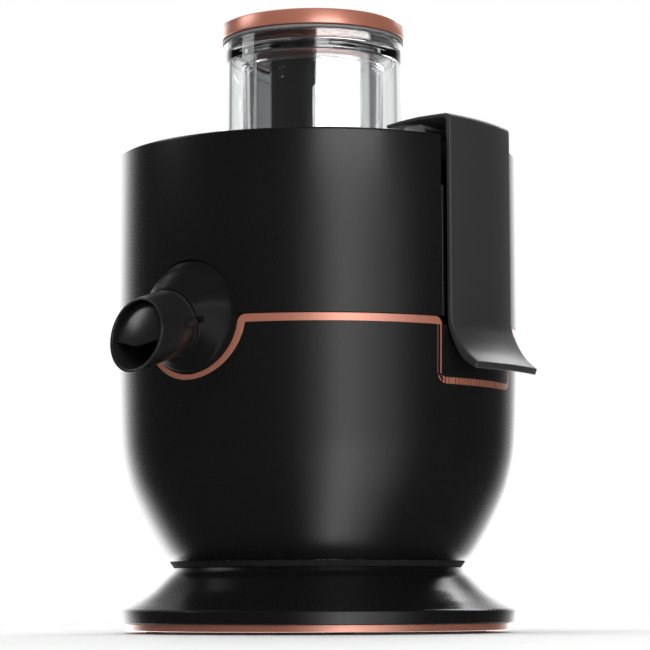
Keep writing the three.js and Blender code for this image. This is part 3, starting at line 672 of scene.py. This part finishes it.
def path_normals(path):
    """The direction across the band at each point, up or away from the opening."""
    girth = TAU * BODY_RADIUS
    normals = []
    for i, _ in enumerate(path):
        before = path[i - 1] - Vector((girth, 0)) if i == 0 else path[i - 1]
        after = path[0] + Vector((girth, 0)) if i == len(path) - 1 else path[i + 1]
        along = (after - before).normalized()
        normals.append(Vector((-along.y, along.x)))
    return normals


def make_trim():
    """The copper band: narrower where it climbs the sides of the notch."""
    path = seam_path()
    thin = TRIM_WIDTH - TRIM_SIDE
    chute = TAU * BODY_RADIUS / 4
    section = rounded([(-0.5, -2.4, 0.02), (-0.5, 0, 0.1), (0.5, 0, 0.1), (0.5, -2.4, 0.02)], steps=3)
    vertices = []
    for point, normal in zip(path, path_normals(path)):
        width = TRIM_WIDTH
        if abs(point.x - chute) < NOTCH_REACH + 5:
            width -= thin * abs(normal.x)
        if point.x < DIP_RADIUS + 8 or point.x > TAU * BODY_RADIUS - DIP_RADIUS - 8:
            width -= DIP_RISE * dip_depth(point.y)
        for across, out in section:
            s, z = point + normal * across * width
            vertices.append(on_wall(s, z, wall_radius(z) + out))
    obj = new_object("trim_band", vertices, grid_faces(len(path), len(section), True, True))
    place(obj, "base", "copper", COPPER, "copper_trim", angle=50)


def seam_cutters():
    """Blocks over everything above the trim's lower edge: the level, the dip and the notch."""
    gap = 0.12
    bottom = SEAM - TRIM_WIDTH - gap
    level = drum(140, bottom, 200, 64)
    reach = DIP_RADIUS + TRIM_WIDTH + gap
    flatter = Matrix.Diagonal((1, 1, (reach - DIP_RISE) / reach, 1))
    dip = rod(reach, 80, 140, translation(0, 0, SPOUT_HEIGHT) @ flatter @ ALONG_FRONT, 128)
    side = BODY_RADIUS * math.sin((NOTCH_REACH + TRIM_SIDE / 2 + gap) / BODY_RADIUS)
    floor = NOTCH_FLOOR - TRIM_WIDTH - gap
    notch = rounded([(-side, -200, 0), (side, -200, 0), (side, -floor, 5), (-side, -floor, 5)], steps=8)
    notch = prism("notch", notch, 70, 140)
    return [level, dip, transform(notch, Matrix(((0, 0, 1, 0), (1, 0, 0, 0), (0, -1, 0, 0), (0, 0, 0, 1))))]


def make_lower_housing():
    inside = [(r - (3.1 if z < 92 else 2.6), z) for r, z in LOWER_CURVE[3:]]
    outline = [*LOWER_CURVE, *reversed(inside), (86, 44), (70, 44), (70, 41), (84.4, 41), (84.4, 40.1)]
    shell = lathe("lower_shell", outline, 288)
    cut(shell, *seam_cutters())
    cut(shell, rod(5.4, 100, 150, KNOB_AXIS), rod(5.6, 84, 112, CORD_AXIS))
    place(shell, "base", "gloss_black", GLOSS_BLACK, "lower_housing")


def make_upper_housing():
    top, bottom = HOUSING_TOP, SEAM + 0.4
    outer, inner = BODY_RADIUS, BODY_RADIUS - 2.9
    outline = rounded([(inner, bottom, 0.1), (outer, bottom, 0.3), (outer, top, 1.4), (inner, top, 0.8)])
    shell = lathe("upper_shell", outline, 288)
    cut(shell, rod(FLARE_RADIUS + 0.65, 80, 140, SPOUT_HOLE, 128))
    cut(shell, block("chute_slot", (60, -NOTCH_HALF_WIDTH, 120), (150, NOTCH_HALF_WIDTH, 300)))
    ears = []
    for y in (9.3, -12.3):
        ear = rounded([(-127.6, 245, 2), (-117, 243, 0.2), (-117, 257, 0.2), (-127.6, 255, 2)])
        flat = prism("ear", ear, -y - 3, -y)
        ears.append(transform(flat, ALONG_FRONT))
    join(shell, *ears)
    place(shell, "housing", "gloss_black", GLOSS_BLACK, "upper_housing")


def channel(outer, wall_corner=0.0, edge=0.0, inside_corner=0.0):
    """The outline, seen from above, of three walls round the pulp's way down."""
    inner, side, wall = CHANNEL_INNER, CHANNEL_HALF_WIDTH, 2
    half = [(inner - wall, side + wall, wall_corner), (outer, side + wall, edge), (outer, side, edge),
            (inner, side, inside_corner)]
    return rounded([(x, -y, radius) for x, y, radius in half] + half[::-1])


def make_pulp_tray():
    tray = prism("pulp_tray_moulding", channel(113.2), 137, 173.6)
    inner, side = CHANNEL_INNER - 1, CHANNEL_HALF_WIDTH + 1
    join(tray, block("floor", (inner, -side, 137), (113.2, side, 139.5)))
    combine(tray, [drum(114.2, 100, 200)], "INTERSECT")
    bevel(tray, 0.5)
    place(tray, "base", "gloss_black", GLOSS_BLACK, "pulp_tray")


def make_pulp_duct():
    duct = prism("pulp_duct_moulding", channel(114, 4, 0.8, 3), 175.4, 249.2)
    place(duct, "housing", "gloss_black", GLOSS_BLACK, "pulp_duct")


# ---------------------------------------------------------------- spout and nozzle


def spout_ring(distance, radius, tilt, sides=128):
    """A ring of points round the spout, tilted by a share of its slope."""
    out = -BODY_RADIUS - distance * math.cos(SPOUT_SLOPE)
    drop = max(0.0, distance) * math.sin(SPOUT_SLOPE)
    turn = Matrix.Rotation(SPOUT_SLOPE * tilt, 3, "X")
    points = []
    for i in range(sides):
        angle = TAU * i / sides
        point = turn @ Vector((radius * math.cos(angle), 0, radius * math.sin(angle)))
        points.append((point.x, point.y + out, point.z + SPOUT_HEIGHT - drop))
    return points


def make_flare():
    base, end = FLARE_RADIUS, FLARE_END
    profile = curve_through([
        (-6, base + 0.6, 0), (-3.4, base + 0.6, 0), (-1.2, base + 0.2, 0), (0.6, base - 0.6, 0),
        (3, base - 2.2, 0.1), (6, base - 4.6, 0.3), (9, base - 7.2, 0.5), (12, 21.6, 0.75),
        (end - 0.6, 19.6, 1), (end, 19.0, 1)], 4)
    tip = COLLAR_DISTANCE + 5
    inside = [(end, COLLAR_RADIUS, 1), (tip, COLLAR_RADIUS, 1), (tip, NOZZLE_BORE, 1),
              (6, NOZZLE_BORE, 1), (-6, NOZZLE_BORE, 0)]
    rings = [spout_ring(*row) for row in [*profile, *inside]]
    vertices = [point for row in rings for point in row]
    flare = new_object("flare_cone", vertices, grid_faces(len(rings), len(rings[0]), True, True))
    cut(flare, drum(115.2, 100, 240, 288))
    join(flare, index_bar(7.0, end))
    place(flare, "housing", "gloss_black", FLARE_BLACK, "spout_flare", angle=28)


def index_bar(start, end):
    """A small raised bar beside the joint, which shows how the nozzle is turned."""
    foot, top = SPOUT_TUBE_RADIUS - 0.4, INDEX_BAR_TOP
    outline = rounded([(foot, -2.2, 0.2), (top, -1.7, 0.8), (top, 1.7, 0.8), (foot, 2.2, 0.2)])
    return transform(prism("bar", outline, start, end), ALONG_SPOUT)


def nozzle_end():
    """The frame of the nozzle's end: its middle, leaning back so that its lower edge is foremost."""
    middle = translation(
        0, -BODY_RADIUS - NOZZLE_LENGTH * math.cos(SPOUT_SLOPE),
        SPOUT_HEIGHT - NOZZLE_LENGTH * math.sin(SPOUT_SLOPE))
    return middle @ Matrix.Rotation(-NOZZLE_END_TILT, 4, "X")


def make_nozzle():
    """A thin tube whose end is closed by a bulged plate over its upper two thirds."""
    start = COLLAR_DISTANCE + 0.3
    bore = NOZZLE_RADIUS - 1.7
    socket = COLLAR_RADIUS + 0.6
    outline = rounded([
        (socket, start, 0.2), (NOZZLE_RADIUS, start, 0.5), (NOZZLE_RADIUS, 72, 0), (bore, 72, 0),
        (bore, start + 5.6, 0.2), (socket, start + 5.6, 0.2)])
    tube = transform(lathe("nozzle_tube", outline, 160), ALONG_SPOUT)
    cut(tube, transform(block("beyond", (-40, -60, -70), (40, 0, 70)), nozzle_end()))
    bevel(tube, 0.5, 4, 50)
    join(tube, nozzle_plate(bore), index_bar(start + 0.6, start + 9))
    low, high = NOZZLE_RADIUS - 0.5, NOZZLE_RADIUS + 0.3
    rib = rounded([(low, -0.45, 0.1), (high, -0.25, 0.2), (high, 0.25, 0.2), (low, 0.45, 0.1)])
    join(tube, transform(prism("rib", rib, start + 8.6, NOZZLE_LENGTH - 5), ALONG_SPOUT))
    place(tube, "nozzle", "gloss_black", NOZZLE_BLACK, "nozzle", angle=28)


def nozzle_plate(bore):
    """A plate that swells outwards, with a wavy lower edge over the opening."""
    columns, rows = 48, 20
    width = bore + 0.5
    stretch = 1 / math.cos(SPOUT_SLOPE + NOZZLE_END_TILT)
    vertices = []
    for depth in (0.0, 2.0):
        for i in range(rows + 1):
            for j in range(columns + 1):
                x = width * math.sin(math.pi * (j / columns - 0.5))
                reach = math.sqrt(max(0.0, width**2 - x**2))
                lower = -3.6 - 1.4 * math.cos(math.pi * x / bore)
                z = max(-reach, lower) + (reach - max(-reach, lower)) * i / rows
                swell = 3.4 * (1 - (x**2 + z**2) / bore**2)
                vertices.append((x, 4.2 - swell + depth, z * stretch))
    count = (rows + 1) * (columns + 1)
    front = grid_faces(rows + 1, columns + 1, False, False)
    faces = front + [tuple(v + count for v in reversed(face)) for face in front]
    edge = list(range(columns))
    edge += [(i + 1) * (columns + 1) - 1 for i in range(rows)]
    edge += [count - 1 - j for j in range(columns)]
    edge += [(rows - i) * (columns + 1) for i in range(rows)]
    for a, b in zip(edge, edge[1:] + edge[:1]):
        faces.append((a, b, b + count, a + count))
    return transform(new_object("plate", vertices, faces), nozzle_end())


def make_nozzle_seal():
    outline = ring(FLARE_END + 0.1, COLLAR_DISTANCE, COLLAR_RADIUS + 0.1, SPOUT_TUBE_RADIUS, 0.2)
    seal = transform(lathe("nozzle_ring", outline, 128), ALONG_SPOUT)
    place(seal, "housing", "rubber", RUBBER)


# ---------------------------------------------------------------- lid, chute cover and feed tube


def make_chute_cover():
    """A curved plate that hangs outside the slot, with a roof above and a flared lip below."""
    heights = (280, 250, 215, 190)
    outside = [(80, 288.3), (90, 289.6), (101, 290.5), (112, 290.6), *arc((118.4, 287), 3.6, 80, 0, 5)]
    outside += [(122, height) for height in heights]
    outside += curve_through([
        (122.0, 176), (122.6, 171.6), (124.3, 167), (127.9, 160), (132.4, 153.9), (138.9, 148.4)])
    inside = [(80, 286.3), (90, 287.4), (101, 288.3), (112, 288.4), *arc((117.2, 286.2), 2.2, 80, 0, 5)]
    inside += [(119.4, height) for height in heights]
    inside += curve_through([
        (119.4, 176), (119.8, 170.6), (121.3, 165.2), (124.8, 157.4), (129.6, 150.4), (137.6, 144.9)])
    columns = 33
    vertices = []
    for radius, height in [*outside, *reversed(inside)]:
        for j in range(columns):
            y = COVER_HALF_WIDTH * (2 * j / (columns - 1) - 1)
            vertices.append((math.sqrt(radius**2 - y**2), y, height))
    rows = 2 * len(outside)
    faces = grid_faces(rows, columns, True, False)
    for j in (0, columns - 1):
        for i in range(len(outside) - 1):
            around = (i, i + 1, rows - 2 - i, rows - 1 - i)
            faces.append(tuple(row * columns + j for row in around))
    cover = new_object("cover_plate", vertices, faces)
    bevel(cover, 0.7, 3, 50)
    place(cover, "lid", "satin_grey", SATIN_GREY, "chute_cover")


def make_lid():
    plate = [
        (44, 272.5, 0.3), (108, 272.5, 0.5), (112, 270.5, 0.5), (112, 264, 0.3), (114.6, 264, 0.4),
        (114.6, 277, 0.8), (111, 277, 0.8), (106, 275.6, 2), (70, 276.2, 2), (44, 275.5, 0.3)]
    lid = lathe("lid_plate", rounded(plate), 256)
    hood = prism("hood", rounded([(84, -29, 3), (104, -29, 0.4), (104, 29, 0.4), (84, 29, 3)]), 273.5, 286)
    cut(hood, rod(15, -40, 40, translation(112, 0, 290) @ ALONG_FRONT, 64))
    hollow = block("hollow", (86, -27, 200), (130, 27, 284))
    opening = block("opening", (104, -30.4, 200), (130, 30.4, 300))
    cut(lid, drum(43.2, 200, 300, 128, TUBE_OFFSET))
    join(lid, hood)
    cut(lid, hollow, opening)
    bevel(lid, 0.4, 2, 45)
    place(lid, "lid", "satin_grey", LID_GREY, "lid")


def make_lid_seal():
    seal = lathe("lid_gasket", ring(268.4, 272.2, 108.6, 111.6, 1.0), 192)
    cut(seal, block("gap", (90, -33, 260), (120, 33, 280)))
    place(seal, "lid", "rubber", RUBBER, "lid_seal")


def make_feed_tube():
    outline = rounded([
        (50.2, 275.8, 0.3), (60, 275.8, 0.3), (60, 278.6, 1.2), (56.4, 279.4, 1.6), (55.0, 284, 1.5),
        (53.8, TUBE_TOP, 1.0), (MOUTH_RADIUS, TUBE_TOP, 0.8), (MOUTH_RADIUS, TUBE_TOP - 5, 1.0),
        (THROAT_RADIUS, TUBE_TOP - 12, 2.0), (THROAT_RADIUS, THROAT_END, 0.6),
        (THROAT_RADIUS + 2, THROAT_END, 0.6), (THROAT_RADIUS + 2, TUBE_TOP - 16, 2),
        (49.4, TUBE_TOP - 9.6, 1.5)])
    tube = lathe("clear_tube", outline, 192, TUBE_OFFSET)
    place(tube, "lid", "clear_plastic", CLEAR, "feed_tube")


def make_pusher():
    outer, flange, wall = THROAT_RADIUS - 1.7, 48.8, 1.3
    bottom, top = 222, 349.6
    body = rounded([
        (0, bottom, 0), (outer, bottom, 2.5), (outer, TUBE_TOP - 11.4, 1.5), (flange, TUBE_TOP - 4, 1),
        (flange, top, 0.3), (flange - wall, top, 0.3), (flange - wall, TUBE_TOP - 3, 1),
        (outer - wall, TUBE_TOP - 10.4, 1.5), (outer - wall, bottom + wall, 1.5), (0, bottom + wall, 0)])
    pusher = lathe("pusher_barrel", body, 192, TUBE_OFFSET)
    place(pusher, "pusher", "smoked_plastic", SMOKED, "pusher_body")
    core = lathe("pusher_core", ring(226, 339, 0, CORE_RADIUS, 1.2), 128, TUBE_OFFSET)
    place(core, "pusher", "gloss_black", POLISHED_BLACK)
    # The washer's light grey is painted light. It copies the pale veil seen through the clear tube where a
    # dark rubber ring would show.
    gasket = lathe("pusher_washer", ring(350.0, 351.6, 36.4, 54.6, 0.5), 192, TUBE_OFFSET)
    place(gasket, "pusher", "rubber", PAINTED_VEIL_GREY, "pusher_gasket")
    cap = rounded([
        (0, 340, 0), (35.4, 340, 0.6), (35.4, 351.9, 0), (CAP_RADIUS, 351.9, 0.5),
        (CAP_RADIUS - 0.8, CAP_TOP, 1.6), (50, CAP_TOP, 1), (48.6, 360.6, 1), (0, 360.6, 0)])
    place(lathe("pusher_disc", cap, 192, TUBE_OFFSET), "pusher", "copper", COPPER, "pusher_cap")


# ---------------------------------------------------------------- bowl, basket and disc

BOWL_NODES = ("bowl_floor", "bowl_chimney", "bowl_wall", "bowl_flange", "bowl_spout")


def make_bowl():
    bowl = rounded([
        (20, 178, 0.4), (86.5, 178, 4), (86.5, 249.5, 1), (115, 249.5, 0.4), (115, 252, 0.4),
        (84, 252, 1.4), (84, 181, 4), (22.5, 181, 3), (22.5, 196, 0.8), (20, 196, 0.8)])
    shell = lathe("bowl_moulding", bowl, 192)
    side = CHANNEL_HALF_WIDTH
    cut(shell, block("duct", (CHANNEL_INNER, -side, 200), (130, side, 300)))
    tube = rod(SPOUT_TUBE_RADIUS, -36, 4, ALONG_SPOUT, 96)
    cut(tube, drum(84.5, 182, 240))
    combine(tube, [drum(114.4, 100, 300)], "INTERSECT")
    join(shell, tube)
    cut(shell, rod(NOZZLE_BORE, -41, 8, ALONG_SPOUT, 96))
    place(shell, "housing", "satin_black", SATIN_BLACK, *BOWL_NODES)


def basket_radius(height):
    share = (height - BASKET_FLOOR) / (BASKET_TOP - BASKET_FLOOR)
    return BASKET_BOTTOM_RADIUS + share * (BASKET_TOP_RADIUS - BASKET_BOTTOM_RADIUS)


def make_filter_mesh(rows=16, columns=132, hole=0.34):
    """A thin cone with a square lattice of round holes, each an octagon inside its own cell."""
    bottom, top = BASKET_FLOOR + 0.3, BASKET_TOP - 0.3
    vertices, faces = [], []

    def point(column, row, depth):
        height = bottom + (top - bottom) * row / rows
        angle = TAU * column / columns
        radius = basket_radius(height) - depth
        return (radius * math.cos(angle), radius * math.sin(angle), height)

    corner = [(0, 0), (0.5, 0), (1, 0), (1, 0.5), (1, 1), (0.5, 1), (0, 1), (0, 0.5)]
    eyes = [(0.5 + hole * math.cos(math.radians(a)), 0.5 + hole * math.sin(math.radians(a)))
            for a in (225, 270, 315, 0, 45, 90, 135, 180)]
    for row in range(rows):
        for column in range(columns):
            first = len(vertices)
            solid = row in (0, rows - 1)
            for depth in (0.0, 0.5):
                for x, y in corner if solid else corner + eyes:
                    vertices.append(point(column + x, row + y, depth))
            if solid:
                faces.append(tuple(range(first, first + 8)))
                faces.append(tuple(range(first + 15, first + 7, -1)))
                continue
            for i in range(8):
                j = (i + 1) % 8
                faces.append((first + i, first + j, first + 8 + j, first + 8 + i))
                faces.append((first + 16 + j, first + 16 + i, first + 24 + i, first + 24 + j))
                faces.append((first + 8 + i, first + 8 + j, first + 24 + j, first + 24 + i))
    for edge_row in (0, rows):
        for column in range(columns):
            first = len(vertices)
            for depth in (0.0, 0.5):
                vertices += [point(column + x, edge_row, depth) for x in (0, 0.5, 1)]
            faces.append((first, first + 1, first + 4, first + 3))
            faces.append((first + 1, first + 2, first + 5, first + 4))
    sieve = new_object("sieve", vertices, faces)
    place(sieve, "basket", "steel", STEEL, "filter_mesh", angle=40)


def make_basket_frame():
    hub = rounded([
        (25, 186, 0.4), (27.5, 186, 0.4), (27.5, 204, 1.5), (54, 204, 0.8), (54, 207, 0.4),
        (18.6, 207, 0.2), (18.6, 204, 0.2), (25, 204, 1)])
    place(lathe("basket_hub", hub, 128), "basket", "steel", STEEL, "filter_hub")
    rim = rounded([(72.2, 250, 0.2), (76, 250, 0.6), (78, 253, 0.6), (78, 256, 0.9), (75, 256, 0.9)])
    place(lathe("basket_rim", rim, 192), "basket", "steel", STEEL, "filter_rim")


def star_outline(core, lobe, sides=12):
    """A six-lobed outline."""
    outline = []
    for i in range(6):
        middle = 60 * i
        x, y = core * math.cos(math.radians(middle)), core * math.sin(math.radians(middle))
        outline += arc((x, y), lobe, middle - 100, middle + 100, sides)
        outline += arc((0, 0), core + 0.6, middle + 19, middle + 41, 6)
    return outline


def make_drive():
    star = prism("coupling_star", star_outline(11, 2.5), 174, COUPLING_TOP)
    cut(star, drum(4.3, 100, 192, 48))
    bevel(star, 0.5, 2, 50)
    place(star, "rotor", "nylon", NYLON, "drive_coupling")
    socket = lathe("socket_body", ring(186, 207, 0, 18.2, 0.4), 96)
    cut(socket, prism("pocket", star_outline(11.6, 2.9), 180, COUPLING_TOP + 2))
    place(socket, "basket", "nylon", DARK_NYLON, "drive_socket")


def make_grating_disc():
    """The cutting disc: pressed teeth stand on it in curved rows."""
    bottom = BASKET_FLOOR + 0.3
    top = bottom + 1.4
    dish = rounded([
        (0, bottom, 0), (51, bottom, 0.3), (51, top, 0.3), (17, top, 1), (11, top + 0.9, 1),
        (0, top + 0.9, 0)])
    disc = lathe("disc", dish, 160)
    teeth = []
    for arm in range(24):
        for step in range(4 if arm % 2 else 0, 12):
            teeth.append((17 + 2.7 * step, math.radians(15 * arm + 5.0 * step)))
    vertices, faces = [], []
    for radius, angle in teeth:
        first = len(vertices)
        out = Vector((math.cos(angle), math.sin(angle), 0))
        along = Vector((-out.y, out.x, 0))
        middle = out * radius + Vector((0, 0, top - 0.1))
        foot = [middle + out * 0.75, middle + along * 1.2, middle - out * 0.75, middle - along * 0.9]
        vertices += [tuple(p) for p in foot]
        vertices.append(tuple(middle + Vector((0, 0, 1.15)) + along * 0.8))
        faces += [(first + i, first + (i + 1) % 4, first + 4) for i in range(4)]
        faces.append((first + 3, first + 2, first + 1, first))
    spikes = new_object("spikes", vertices, faces)
    grater = merged("cutting_disc", [disc, spikes])
    place(grater, "basket", "titanium_coated", TITANIUM, "grating_disc", angle=25)


# ---------------------------------------------------------------- deck, knob, latch and gland


def make_deck():
    outline = rounded([
        (12.4, 165, 0.4), (19, 168, 1.5), (30, 150, 6), (44, 135, 5), (113.6, 135, 0.4), (113.6, 132, 0.4),
        (42.6, 132, 4), (27.8, 148, 5), (17.4, 164.5, 1), (12.4, 162, 0.4)])
    deck = lathe("deck_moulding", outline, 192)
    rib = block("rib", (48, -1, 134.6), (104, 1, 136.4))
    join(deck, copies(rib, 12))
    post = lathe("post", ring(127.3, 133, 0, 5, 0.4), 48, (46, 0))
    transform(post, Matrix.Rotation(math.radians(45), 4, "Z"))
    join(deck, copies(post, 4))
    place(deck, "base", "satin_black", SATIN_BLACK, "deck")
    seal = rounded([(4.4, 160, 0.3), (12, 160, 0.3), (12, 167.4, 0.8), (8, 169.5, 0.8), (4.4, 169.5, 0.3)])
    place(lathe("shaft_lip_seal", seal, 96), "base", "rubber", RUBBER, "shaft_seal")


def tapered(name, bottom, top, reach_in, reach_out, corner, low, high):
    """A bar across the knob's face, given its half widths at both ends."""
    outline = [(-bottom, reach_in), (bottom, reach_in), (top, reach_out), (-top, reach_out)]
    return prism(name, rounded([(x, y, r) for (x, y), r in zip(outline, corner)]), low, high)


def make_knob():
    grip = rounded([
        (0, 119.2, 0), (17.4, 119.2, 0.3), (18.4, 120.4, 0.6), (17.4, 128.4, 1.2), (16, 129.6, 0.8),
        (0, 129.6, 0)])
    knob = lathe("knob_dial", grip, 96)
    join(knob, lathe("stem", ring(106.6, 120, 0, 4.6, 0.3), 48))
    for angle in range(0, 360, 15):
        turn = Matrix.Rotation(math.radians(angle), 4, "Z")
        cut(knob, transform(drum(1.1, 121.4, 140, 16, (18.9, 0)), turn))
    bar = tapered("bar", 2.4, 1.8, -15.2, 15.2, (2, 2, 1.6, 1.6), 128, 131.9)
    bevel(bar, 0.5, 2, 50)
    join(knob, bar)
    place(transform(knob, KNOB_AXIS), "knob", "gloss_black", GLOSS_BLACK, "speed_knob")
    mark = tapered("mark", 0.5, 0.5, 7, 13.6, (0.4,) * 4, 131.5, 131.98)
    place(transform(mark, KNOB_AXIS), "knob", "copper", COPPER)


def make_latch():
    """A lever that hooks over the lid's edge, with a ribbed thumb tab on its outside."""
    top, bottom = HOUSING_TOP + 5, HOUSING_TOP + 0.8
    side = rounded([
        (-126.4, 247.2, 1.8), (-124.6, 245.8, 1.2), (-121.6, 246.4, 1.2), (-119.4, 254, 3),
        (-119.4, bottom, 0.5), (-115.2, bottom, 0.5), (-115.2, top - 0.8, 0.6), (-116.4, top, 0.6),
        (-124.6, top, 2.5), (-126.6, 280.5, 2), (-130, 271.5, 2), (-131, 264.5, 0.6),
        (-129.2, 264.5, 0.6), (-126.6, 270.5, 2)])
    lever = transform(prism("latch_lever", side, -9, 9), ALONG_FRONT)
    cut(lever, rod(1.9, -20, 20, translation(-123.6, 0, 250) @ ALONG_FRONT, 32))
    for z in (266, 268.2, 270.4):
        cut(lever, block("grip", (-134, -7, z), (-130.1, 7, z + 0.9)))
    bevel(lever, 0.5, 2, 50)
    place(lever, "latch", "satin_black", SATIN_BLACK, "lid_latch")


def make_gland():
    outline = rounded([
        (3.6, 86, 0.3), (5, 86, 0.3), (5, 105.8, 0.2), (9, 105.8, 0.6), (9, 108.4, 0.8), (6.6, 109.6, 0.6),
        (5.6, 117, 0.6), (3.6, 117, 0.4)])
    gland = transform(lathe("cord_bush", outline, 96), CORD_AXIS)
    place(gland, "base", "rubber", RUBBER, "cord_gland")


# ---------------------------------------------------------------- carried-over CAD nodes

CARRIED = [
    (STEEL, ["motor_bracket_top", "motor_bracket_bottom", "bearing_top", "bearing_bottom",
             "motor_bolt_1", "motor_bolt_2", "motor_shaft", "latch_pin"]),
    (LAMINATION, ["stator", "armature"]),
    (WIRE, ["field_coil_1", "field_coil_2", "winding_top", "winding_bottom", "commutator"]),
    (NYLON, ["brush_holder_1", "brush_holder_2", "speed_switch"]),
    (SATIN_BLACK, ["cooling_fan"]),
]


def finish_carried_nodes():
    for material, names in CARRIED:
        for name in names:
            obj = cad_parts[name]
            obj.data.materials.clear()
            obj.data.materials.append(material)
            smooth(obj, 30)
            edge = obj.modifiers.new("edge", "BEVEL")
            edge.width = 0.25 * MM
            edge.segments = 2
            edge.limit_method = "ANGLE"
            edge.angle_limit = math.radians(45)


# ---------------------------------------------------------------- studio

FLOOR_RADIUS = 620.0

# Brightness of the soft light round the object, as (azimuth from the camera in degrees, brightness).
LIGHT_RING = [
    (-180, 3.2), (-165, 3.8), (-148, 4.8), (-138, 2.0), (-127, 0.08), (-14, 0.08), (0, 1.1), (13, 4.6),
    (40, 1.9), (52, 0.6), (63, 0.08), (133, 0.1), (148, 1.2), (162, 3.2), (180, 3.6)]
RING_PEAK = 5.0

# The share of that light at each height, as (sine of the height above the horizon, share).
LIGHT_HEIGHTS = [(-1, 1.0), (-0.35, 1.0), (-0.05, 0.78), (0.2, 0.78), (0.38, 0.08), (1, 0.08)]

# What is seen past the object and through its clear plastic: white behind, a tall strip in front.
BACKDROP = [
    (-180, 1.0), (-150, 1.0), (-140, 0.1), (4, 0.1), (7, 10.0), (80, 10.0), (85, 0.35), (140, 0.35),
    (150, 1.0), (180, 1.0)]
BACKDROP_PEAK = 10.0


def make_floor():
    """A pale disc under the object."""
    outline = rounded([(0, -3, 0), (FLOOR_RADIUS, -3, 0.5), (FLOOR_RADIUS, 0, 0.5), (0, 0, 0)])
    floor = transform(lathe("studio_floor", outline, 96), translation(0, 0, FLOOR_LEVEL))
    floor.data.materials.append(pale_floor())
    floor.visible_glossy = False


def ramp(nodes, value, low, high, stops, peak, interpolation="EASE"):
    """A share of the peak brightness, looked up from stops over a range of values."""
    node = nodes.add("ShaderNodeValToRGB", {0: nodes.spread(value, 0, 1, low, high)})
    node.color_ramp.interpolation = interpolation
    elements = node.color_ramp.elements
    while len(elements) < len(stops):
        elements.new(0.5)
    first, last = stops[0][0], stops[-1][0]
    for element, (position, brightness) in zip(elements, stops):
        element.position = (position - first) / (last - first)
        element.color = (*[brightness / peak] * 3, 1)
    return node.outputs["Color"]


def make_world():
    """A soft ring of light round the object, and a white backdrop where one looks past it."""
    world = bpy.data.worlds.new("studio")
    bpy.context.scene.world = world
    nodes = Nodes(world)
    from_camera = {"Vector": nodes.direction, "Rotation": (0, 0, math.pi / 2 - CAMERA_AZIMUTH)}
    x, y, height = nodes.split(nodes.add("ShaderNodeMapping", from_camera).outputs[0])
    azimuth = nodes.math("ARCTAN2", y, x)

    def background(colour, strength):
        return nodes.add("ShaderNodeBackground", {"Color": colour, "Strength": strength}).outputs[0]

    def mixed(share, first, second):
        return nodes.add("ShaderNodeMixShader", {0: share, 1: first, 2: second}).outputs[0]

    around = ramp(nodes, azimuth, -math.pi, math.pi, LIGHT_RING, RING_PEAK)
    upright = ramp(nodes, height, -1, 1, LIGHT_HEIGHTS, 1.0)
    light = nodes.add("ShaderNodeVectorMath", {0: around, 1: upright}, operation="MULTIPLY").outputs[0]
    behind = ramp(nodes, azimuth, -math.pi, math.pi, BACKDROP, BACKDROP_PEAK, "LINEAR")
    ray = nodes.add("ShaderNodeLightPath").outputs
    lit, backdrop = background(light, RING_PEAK), background(behind, BACKDROP_PEAK)
    seen = mixed(ray["Is Transmission Ray"], lit, backdrop)
    seen = mixed(ray["Is Camera Ray"], seen, background((1, 1, 1, 1), 1.0))
    nodes.feed(nodes.tree.nodes["World Output"].inputs["Surface"], seen)


def softbox(name, azimuth, distance, height, width, tall, power, reflected=True):
    """A rectangular light that faces the object, placed round it from the camera's side."""
    data = bpy.data.lights.new(name, "AREA")
    data.shape = "RECTANGLE"
    data.size = width
    data.size_y = tall
    data.energy = power
    light = bpy.data.objects.new(name, data)
    angle = CAMERA_AZIMUTH + math.radians(azimuth)
    light.location = (distance * math.sin(angle), -distance * math.cos(angle), height)
    aim = Vector((0, 0, 0.19)) - light.location
    light.rotation_euler = aim.to_track_quat("-Z", "Y").to_euler()
    light.visible_camera = False
    light.visible_glossy = reflected
    bpy.context.scene.collection.objects.link(light)


def make_lights():
    softbox("overhead", -30, 0.4, 1.7, 1.6, 1.6, 22, reflected=False)
    softbox("cap_strip", 18, 1.5, 0.76, 1.0, 0.12, 4.2)
    softbox("back_right", 148, 1.1, 1.0, 0.7, 0.5, 7.0)
    softbox("back_left", -157, 1.0, 1.2, 0.5, 0.5, 2.4)
    softbox("left", -92, 1.2, 0.94, 0.5, 0.45, 2.8)


bpy.context.scene.view_settings.view_transform = "Standard"

make_foot()
make_base_ring()
make_base_plate()
make_base_screws()
make_neck()
make_trim()
make_lower_housing()
make_upper_housing()
make_pulp_tray()
make_pulp_duct()
make_flare()
make_nozzle()
make_nozzle_seal()
make_chute_cover()
make_lid()
make_lid_seal()
make_feed_tube()
make_pusher()
make_bowl()
make_filter_mesh()
make_basket_frame()
make_drive()
make_grating_disc()
make_deck()
make_knob()
make_latch()
make_gland()
finish_carried_nodes()
make_floor()
make_world()
make_lights()
